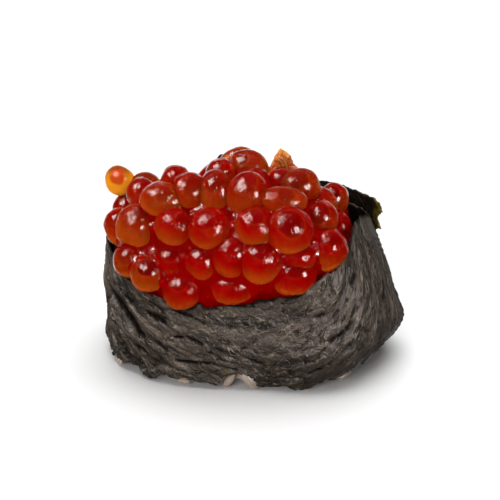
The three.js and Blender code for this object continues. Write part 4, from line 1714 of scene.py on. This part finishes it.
    def shown_eggs(self) -> list[Egg]:
        """The eggs of the table, set on the dome."""
        side = self.heap.side
        eggs = []
        for number, row in enumerate(self.table):
            across, up, breadth, height, slant, rank, tone, painted_glow, x, y, size, depth = row
            at = self.heap.seen_at(across, up) + side.towards * (0.14 * (rank - 6))
            if number < len(self.overhang):
                at = at + side.towards * self.overhang[number]
            out = math.sqrt(max(0.05, 1 - x * x - y * y))
            spot = side.place(x, y, out).normalized()
            egg = Egg(at, breadth, height, slant, int(rank), tone, painted_glow, spot, size, depth)
            eggs.append(egg)
        return eggs

    def press_together(self) -> None:
        """Swells the eggs inside the heap until they touch, and settles those behind it."""
        side = self.heap.side
        for number, egg in enumerate(self.eggs):
            seen = (egg.at.dot(side.across), egg.at.dot(side.up))
            offsets = zip(seen, self.swell_middle, self.swell_reach)
            reach = math.hypot(*((place - middle) / half for place, middle, half in offsets))
            swell = 1 + self.swelling * clamp(1.7 * (1 - reach), 0, 1)
            egg.breadth *= swell
            egg.height *= swell
            if number >= len(self.table):
                egg.at = self.heap.settled(egg.at, self.behind)

    def filler_eggs(self, placed: list[Egg]) -> list[Egg]:
        """Eggs for the rest of the dome, kept clear of those there.

        Args:
            placed: the eggs that lie on it already.

        Returns:
            The further eggs, from the top down.
        """
        random, traits = SeededRandom(21), SeededRandom(5)
        eggs = list(placed)
        side, centre, axes = self.heap.side, self.heap.centre, Vector(self.heap.half_axes)
        gap_across, gap_up, gap_reach = self.filler_gap
        for sunk, crowding in self.layers:
            for i in range(self.filler_places):
                rise = 1 - (i + 0.5) / self.filler_places
                ball = Vector(polar(math.sqrt(1 - rise * rise), i * GOLDEN_TURN, rise))
                at = self.heap.settled(self.heap.onto(ball * axes + centre))
                at = at.lerp(centre, sunk / (at - centre).length)
                size = self.filler_size * (1 + self.filler_spread * (2 * random() - 1))
                slant = 180 * random()
                stretch = 1 + 0.12 * random()
                degrees = math.degrees(math.atan2(at.y, at.x))
                rim = self.wrap.rim_round(degrees)
                edge = self.wrap.wall_radius(degrees, rim) + self.filler_outside
                crowded = any(
                    (egg.at - at).length < ((egg.breadth + egg.height) / 2 + size) / 2 * crowding
                    for egg in eggs
                )
                across, up = at.dot(side.across), at.dot(side.up)
                kept_clear = across > self.filler_end or up < self.filler_low
                kept_clear |= math.hypot(across - gap_across, up - gap_up) < gap_reach
                if at.z <= rim or math.hypot(at.x, at.y) > edge or crowded or kept_clear:
                    continue
                lean = Vector((traits.between(-0.5, 0.5), traits.between(-0.5, 0.5), 1))
                eggs.append(
                    Egg(
                        at,
                        size * stretch,
                        size,
                        slant,
                        rank=2 if sunk == 0 else 1,
                        tone=traits.between(0.2, 1.0) if at.z > 27 else traits.between(0, 0.5),
                        painted_glow=traits.between(0.2, 0.9),
                        spot=lean.normalized(),
                        spot_size=traits.between(0.35, 0.6),
                        spot_depth=traits.between(0.3, 1.0),
                    )
                )
        return eggs[len(placed) :]

    @staticmethod
    def model_ball(name: str, subdivisions: int) -> bpy.types.Object:
        """A ball with a radius of one millimetre, which is copied for each egg."""
        bpy.ops.mesh.primitive_ico_sphere_add(subdivisions=subdivisions, radius=MM)
        return added(name)

    def shaped(self, number: int, ball: np.ndarray) -> np.ndarray:
        """One egg's points, dented a little and pressed flat where it meets others.

        Args:
            number: which egg of the heap.
            ball: the points of a ball with radius 1.

        Returns:
            The points.
        """
        egg = self.eggs[number]
        side = self.heap.side
        turn = np.array(egg.frame(side))
        dents = np.array(
            [
                noise.noise(Vector(p) * 1.1 + Vector((number * 3.7, 0, 0))) * self.dented
                + noise.noise(Vector(p) * 2.4 + Vector((0, number * 2.9, 0))) * self.finely_dented
                for p in ball
            ]
        )
        local = ball * (1 + dents + self.plump)[:, None] * egg.halves
        points = local @ turn.T
        for other_number, other in enumerate(self.eggs):
            if other_number == number:
                continue
            between = other.at - egg.at
            distance = between.length
            if distance < 0.01:
                continue
            direction = between / distance
            own = egg.reach(side, direction)
            overlap = own + other.reach(side, direction) - distance
            if overlap <= -0.3:
                continue
            share = clamp(0.5 + self.rank_weight * (egg.rank - other.rank), 0.02, 0.98)
            limit = own - max(overlap, 0) * (1 - share) * self.pressing - self.contact_gap
            limit = max(limit, 0.25 * own)
            over = points @ np.array(direction) - limit
            pressed = -self.softness * np.logaddexp(0, -over / self.softness)
            near = over > -4 * self.softness
            points[near] += ((pressed - over)[:, None] * np.array(direction))[near]
        return points + np.array(egg.at)

    def build_eggs(self, finish: bpy.types.Material) -> bpy.types.Object:
        """Models all the eggs as one piece.

        Args:
            finish: their material.

        Returns:
            The finished piece.
        """
        pattern = self.model_ball("egg_ball", 4)
        ball = points_of(pattern)
        parts = []
        for number, egg in enumerate(self.eggs):
            item = copy_of(pattern, f"egg_{number}")
            points = self.shaped(number, ball)
            set_points(item, self.kept_inside(points) if egg.rank <= self.tucked_rank else points)
            turn = np.array(egg.frame(self.heap.side))
            place = (ball * egg.halves) @ turn.T / egg.halves.mean()
            place /= np.linalg.norm(place, axis=1)[:, None]
            traits = (egg.tone, egg.painted_glow, egg.spot_depth)
            store_egg(item, place, egg.spot, math.asin(egg.spot_size), traits)
            parts.append(item)
        remove(pattern)
        return finished(joined(parts, "salmon_eggs"), finish)

    @property
    def floor(self) -> float:
        """The level that the roe starts from, just above the rice."""
        return RiceBed(self.wrap).top + self.above_rice

    def beside_pool(self, at: Vector) -> float:
        """1 where the pool along the display side's rim lies, 0 past its left end."""
        return smooth((at.dot(self.heap.side.across) - self.pool_end) / 3)

    def dome(self, shrink: float) -> bpy.types.Object:
        """The dome under the eggs.

        Args:
            shrink: how far it lies inside the one that the eggs lie on.

        Returns:
            The dome, down to the rice.
        """
        heap = self.heap
        bpy.ops.mesh.primitive_uv_sphere_add(segments=96, ring_count=40, radius=MM)
        dome = added("heap_dome")
        axes = Vector(heap.half_axes) - Vector((shrink, shrink, shrink))
        placed = np.empty((len(dome.data.vertices), 3))
        for i, point in enumerate(points_of(dome)):
            offset = Vector(point) * axes
            total = sum(abs(v / half) ** heap.squareness for v, half in zip(offset, axes))
            at = heap.centre + offset / max(total ** (1 / heap.squareness), 1e-6)
            at = heap.settled(at, shrink)
            front = self.beside_pool(at) * smooth(-at.y / 6)
            below = smooth((self.pool_level - at.z) / 4)
            fuller = 1 + (self.pool + self.front_pool * front) * below
            at.x, at.y = at.x * fuller, at.y * fuller
            at.z = max(at.z, self.floor)
            placed[i] = at
        set_points(dome, placed)
        return dome

    def plug(self) -> bpy.types.Object:
        """What fills the wrap from the rice up to a little under its rim."""
        wrap, rings = self.wrap, 8
        shares = (0, 0.5, 1, 1, 1, 1, 0.97, 0.5, 0)
        bpy.ops.mesh.primitive_uv_sphere_add(segments=96, ring_count=rings, radius=MM)
        plug = added("heap_plug")
        placed = np.empty((len(plug.data.vertices), 3))
        for i, (x, y, z) in enumerate(points_of(plug)):
            rank = round(rise_of(z) * rings)
            degrees = math.degrees(math.atan2(y, x))
            edge = wrap.rim_round(degrees) - self.under_rim
            height = self.floor + (edge - self.floor) * clamp((rank - 2) / 4, 0, 1)
            if rank >= rings - 1:
                height = self.plug_top
            radius = (wrap.wall_radius(degrees, height) - self.wall_room) * shares[rank]
            placed[i] = polar(radius, math.radians(degrees), height)
        set_points(plug, placed)
        return plug

    def drowned(self, egg: Egg) -> float:
        """How far an egg lies in the pool along the display side's rim, from 0 to 1."""
        return smooth((self.pool_level - egg.at.z) / 3.5) * self.beside_pool(egg.at)

    def kept_inside(self, points: np.ndarray) -> np.ndarray:
        """The points with those under the rim pulled in behind the nori."""
        for i, (x, y, z) in enumerate(points):
            degrees = math.degrees(math.atan2(y, x))
            below = self.band.rim_round(degrees) - z
            if below < -self.meniscus:
                continue
            room = self.wall_room + self.more_room * smooth((below - 0.6) / 2)
            room -= (self.wall_room + self.bulge) * smooth(-below / self.meniscus)
            limit = self.wrap.wall_radius(degrees, z) - room
            points[i, :2] *= min(1, limit / math.hypot(x, y))
        return points

    def build_juice(self, finish: bpy.types.Material) -> bpy.types.Object:
        """Models the juice: it fills the gaps between the eggs with hollow, wet fillets.

        The eggs are swollen, melted together and shrunk again, which leaves a body that
        lies just under each egg and bridges the gaps between them.

        Args:
            finish: its material.

        Returns:
            The finished piece.
        """
        pattern = self.model_ball("juice_ball", 3)
        ball = points_of(pattern)
        parts = [self.dome(self.dome_inside - self.fillet)]
        for number, egg in enumerate(self.eggs):
            item = copy_of(pattern, f"juice_{number}")
            lean = clamp((egg.at.z - 26) / 6, 0, 1)
            cover = self.drowning * self.drowned(egg)
            swollen = egg.halves + self.fillet + cover - self.less_above * lean
            set_points(item, (ball * swollen) @ np.array(egg.frame(self.heap.side)).T + egg.at)
            parts.append(item)
        remove(pattern)
        juice = joined(parts, "roe_juice")
        apply_modifier(juice, "REMESH", mode="VOXEL", voxel_size=self.voxel * MM)
        back = (self.fillet + self.under_eggs) * MM
        apply_modifier(juice, "DISPLACE", strength=-back, mid_level=0)
        juice = joined([juice, self.plug()], "roe_juice")
        apply_modifier(juice, "REMESH", mode="VOXEL", voxel_size=self.fine_voxel * MM)
        apply_modifier(juice, "SMOOTH", factor=0.5, iterations=6)
        set_points(juice, self.kept_inside(points_of(juice)))
        juice.data.materials.clear()
        return finished(juice, finish)


@dataclass
class AmberEgg:
    """The pale egg that lies high at the left end, a little longer than it is wide."""

    side: DisplaySide
    across: float = -26.0
    up: float = 31.95
    towards: float = 8.5
    breadth: float = 5.7
    height: float = 6.0
    slant: float = 40
    taper: float = 0.07
    dented: float = 0.05
    spot: Triple = (-0.16, 0.27, 0.95)
    spot_reach: float = 0.64

    def build(self, finish: bpy.types.Material) -> bpy.types.Object:
        """Models the egg.

        Args:
            finish: its material.

        Returns:
            The finished piece.
        """
        bpy.ops.mesh.primitive_ico_sphere_add(subdivisions=5, radius=MM)
        item = added("amber_egg")
        ball = points_of(item)
        turn = np.array(self.side.as_matrix() @ Matrix.Rotation(math.radians(self.slant), 3, "Z"))
        halves = np.array((self.breadth, self.height, self.breadth)) / 2
        narrowed = 1 - self.taper * ball[:, 1]
        shaped = ball * halves
        shaped[:, 0] *= narrowed
        shaped[:, 2] *= narrowed
        waves = np.array([noise.noise(Vector(p) * 1.3 + Vector((4, 1, 2))) for p in ball])
        shaped *= (1 + waves * self.dented)[:, None]
        points = shaped @ turn.T
        place = points / np.linalg.norm(points, axis=1)[:, None]
        centre = self.side.place(self.across, self.up, self.towards)
        set_points(item, points + np.array(centre))
        spot = self.side.place(*self.spot).normalized()
        store_egg(item, place, spot, self.spot_reach, (1, 1, 1))
        return finished(item, finish)


@dataclass
class EmptiedSkin:
    """An emptied egg skin that stands up crumpled, its folds running to its tip.

    Its outline is listed as rows of height, left edge and right edge, as the display side
    shows it. Its depth is a share of its width, and it is sunk by a share of its height.
    """

    heap: HeapForm
    across: float = 5.2
    up: float = 34.0
    height: float = 6.6
    depth: float = 1.178
    sunk: float = 0.35
    steps: int = 128
    levels: int = 56
    outline: tuple[Triple, ...] = (
        (0.00, -2.2, 3.6), (0.12, -2.3, 4.0), (0.28, -2.25, 3.9), (0.40, -2.1, 3.1),
        (0.52, -1.75, 2.35), (0.64, -1.35, 1.95), (0.76, -0.95, 1.8), (0.86, -0.62, 1.1),
        (0.94, -0.42, 0.35), (1.00, -0.25, -0.05),
    )  # fmt: skip

    def edges(self, share: float) -> tuple[float, float]:
        """How far left and right the skin reaches at a share of its height."""
        heights, lefts, rights = zip(*self.outline)
        return float(np.interp(share, heights, lefts)), float(np.interp(share, heights, rights))

    def build(self, finish: bpy.types.Material) -> bpy.types.Object:
        """Models the skin.

        Args:
            finish: its material.

        Returns:
            The finished piece.
        """
        side = self.heap.side
        base = self.heap.seen_at(self.across, self.up) - side.up * (self.height * self.sunk)
        bpy.ops.mesh.primitive_uv_sphere_add(
            segments=self.steps, ring_count=self.levels, radius=MM
        )
        item = added("emptied_skin")
        unit = points_of(item)
        placed = np.empty_like(unit)
        rises = np.empty(len(unit))
        for i, (x, y, z) in enumerate(unit):
            share = rise_of(z)
            angle = math.atan2(y, x)
            left, right = self.edges(share)
            close = min(1, 8 * share, 14 * (1 - share))
            half = (right - left) / 2 * close
            turn = angle + 1.2 * share + 0.9 * perlin(share * 3.5, 2.2, 5)
            along, beside = math.cos(turn), math.sin(turn)
            fold = abs(perlin(along * 1.7, beside * 1.7 + 1.4 * share, 6))
            fold += 0.7 * abs(perlin(along * 3.2, beside * 3.2 + 2.4 * share, 9))
            seen = abs(math.sin(angle))
            ripple = 1 + (1.3 * fold - 0.5) * seen + 0.12 * (fold - 0.3)
            across = (left + right) / 2 + half * ripple * math.cos(angle)
            at = base + side.across * across
            at = at + side.towards * (self.depth * half * ripple * math.sin(-angle))
            at = at + side.up * (self.height * share * 0.985)
            placed[i] = at
            rises[i] = share
        set_points(item, placed)
        store(item, "skin_rise", "FLOAT", rises)
        face_outwards(item)
        return finished(item, finish)


# ---------------------------------------------------------------- the studio


@dataclass(frozen=True)
class Studio:
    """A pale floor, soft light from above and in front, and two panels seen as highlights."""

    side: DisplaySide
    px_per_mm: float = 5.2
    picture_px: float = 500
    sensor: float = 36
    distance: float = 1000
    aim_across: float = -0.77
    aim_up: float = 18.46
    aim_towards: float = 14
    floor_tone: float = 0.8
    sky: float = 0.10

    def camera(self) -> None:
        """Adds the camera on the display side."""
        side = self.side
        at = side.place(self.aim_across, self.aim_up, self.aim_towards + self.distance)
        bpy.ops.object.camera_add(location=at * MM)
        camera = bpy.context.active_object
        camera.name = "camera"
        camera.rotation_euler = side.as_matrix().to_euler()
        camera.data.sensor_width = self.sensor
        camera.data.lens = self.sensor * self.distance / (self.picture_px / self.px_per_mm)
        camera.data.clip_start = 0.01
        camera.data.clip_end = 20
        bpy.context.scene.camera = camera

    def floor(self) -> None:
        """Adds the floor."""
        bpy.ops.mesh.primitive_plane_add(size=8, location=(0, 0, 0))
        floor = added("floor")
        surface = Surface("pale floor", Groups())
        surface.shade(Base_Color=(self.floor_tone,) * 3, Roughness=0.9, IOR=1.1)
        floor.data.materials.append(surface.material)
        floor.visible_glossy = False

    def panel(self, name: str, place: Triple, size: float, power: float) -> None:
        """Adds a panel that shows only as a highlight.

        Args:
            name: what the light is called.
            place: how far it stands across, up and towards the eye, in metres.
            size: its side, in metres.
            power: its power in watts.
        """
        at = self.side.place(*place)
        bpy.ops.object.light_add(type="AREA", location=at)
        light = bpy.context.active_object
        light.name = name
        light.rotation_euler = (at - Vector((0, 0, 0.02))).to_track_quat("Z", "Y").to_euler()
        light.data.shape = "SQUARE"
        light.data.color = (1, 0.88, 0.80)
        light.data.size = size
        light.data.energy = power
        light.visible_diffuse = False
        light.visible_transmission = False
        light.visible_camera = False

    def soft_light(self, name: str, direction: Triple, strength: float, spread: float) -> None:
        """Adds a broad soft light that leaves no highlight.

        Args:
            name: what the light is called.
            direction: where it comes from.
            strength: its strength.
            spread: how broad it is, in degrees.
        """
        bpy.ops.object.light_add(type="SUN")
        light = bpy.context.active_object
        light.name = name
        light.data.energy = strength
        light.data.angle = math.radians(spread)
        light.rotation_euler = Vector(direction).to_track_quat("Z", "Y").to_euler()
        light.visible_glossy = False

    def surroundings(self) -> None:
        """Makes the world: white to the eye, soft light, and a pale horizon in reflections."""
        world = bpy.data.worlds.new("studio")
        bpy.context.scene.world = world
        world.use_nodes = True
        tree = Tree(world.node_tree)
        path = tree.add("LightPath").outputs
        way = tree.add("TexCoord").outputs["Generated"]
        beyond = tuple(-self.side.towards)
        facing = tree.add("VectorMath", {0: way, 1: beyond}, operation="DOT_PRODUCT")
        rim = tree.band(facing.outputs["Value"], 0.55, 0.96)
        seen, mirrored = path["Is Camera Ray"], path["Is Glossy Ray"]
        strength = tree.times(mirrored, tree.line(rim, 1.1, 0.008))
        strength = tree.line(tree.math("SUBTRACT", 1, mirrored), self.sky, strength)
        strength = tree.line(strength, tree.math("SUBTRACT", 1, seen), seen)
        background = tree.add("Background", {"Color": (1, 1, 1), "Strength": strength})
        tree.add("OutputWorld", {"Surface": background.outputs[0]})

    def build(self) -> None:
        """Sets up the whole studio."""
        self.camera()
        self.floor()
        self.soft_light("overhead", (-0.05, 0.30, 1), 3.9, 62)
        self.soft_light("fill", (-0.25, -0.93, 0.35), 1.7, 50)
        self.panel("window", (-0.20, 0.28, 0.19), 0.24, 4.2)
        self.panel("lamp", (0.25, 0.02, 0.31), 0.17, 3.6)
        self.surroundings()
        scene = bpy.context.scene
        scene.view_settings.view_transform = "Standard"
        scene.view_settings.look = "None"
        scene.cycles.use_denoising = True


# ---------------------------------------------------------------- putting it together


def fit(piece: bpy.types.Object, node: str) -> None:
    """Ties a finished piece to the frame.

    Args:
        piece: the piece.
        node: the CAD node that it stands for.
    """
    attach(piece, "root")
    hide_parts(node)
    piece.data.calc_loop_triangles()
    LOG.info("%s: %d triangles", piece.name, len(piece.data.loop_triangles))


def main() -> None:
    """Builds the sushi and the studio round it."""
    logging.basicConfig(level=logging.INFO, format="%(message)s")
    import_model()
    side, wrap = DisplaySide(), WrapForm()
    heap_form = HeapForm(side)
    groups = Groups()

    # The inner face is the nori with its own olive-brown tone, painted darker as the shade inside
    # the wrap.
    nori_inside = NoriFinish(
        "nori inner face",
        black=(0.003, 0.002, 0.001),
        grey=(0.022, 0.014, 0.003),
        fibres_and_painted_sheen=0.3,
        shine=0.35,
    )
    band = NoriBand(wrap)
    strip = band.build(NoriFinish().make(groups), nori_inside.make(groups))
    fit(strip, "nori_wrap")
    fit(RiceBed(wrap).build(RiceFinish().make(groups)), "rice_bed")

    heap = RoeHeap(wrap, heap_form, band)
    heap.eggs = heap.shown_eggs()
    heap.eggs += heap.filler_eggs(heap.eggs)
    heap.press_together()
    LOG.info("%d eggs", len(heap.eggs))
    fit(heap.build_eggs(RoeFinish().make(groups)), "roe_heap")
    fit(heap.build_juice(JuiceFinish().make(groups)), "roe_heap")
    fit(AmberEgg(side).build(AmberFinish().make(groups)), "pale_egg")
    fit(EmptiedSkin(heap_form).build(SkinFinish().make(groups)), "torn_skin")

    Studio(side).build()


if __name__ == "__main__":
    main()
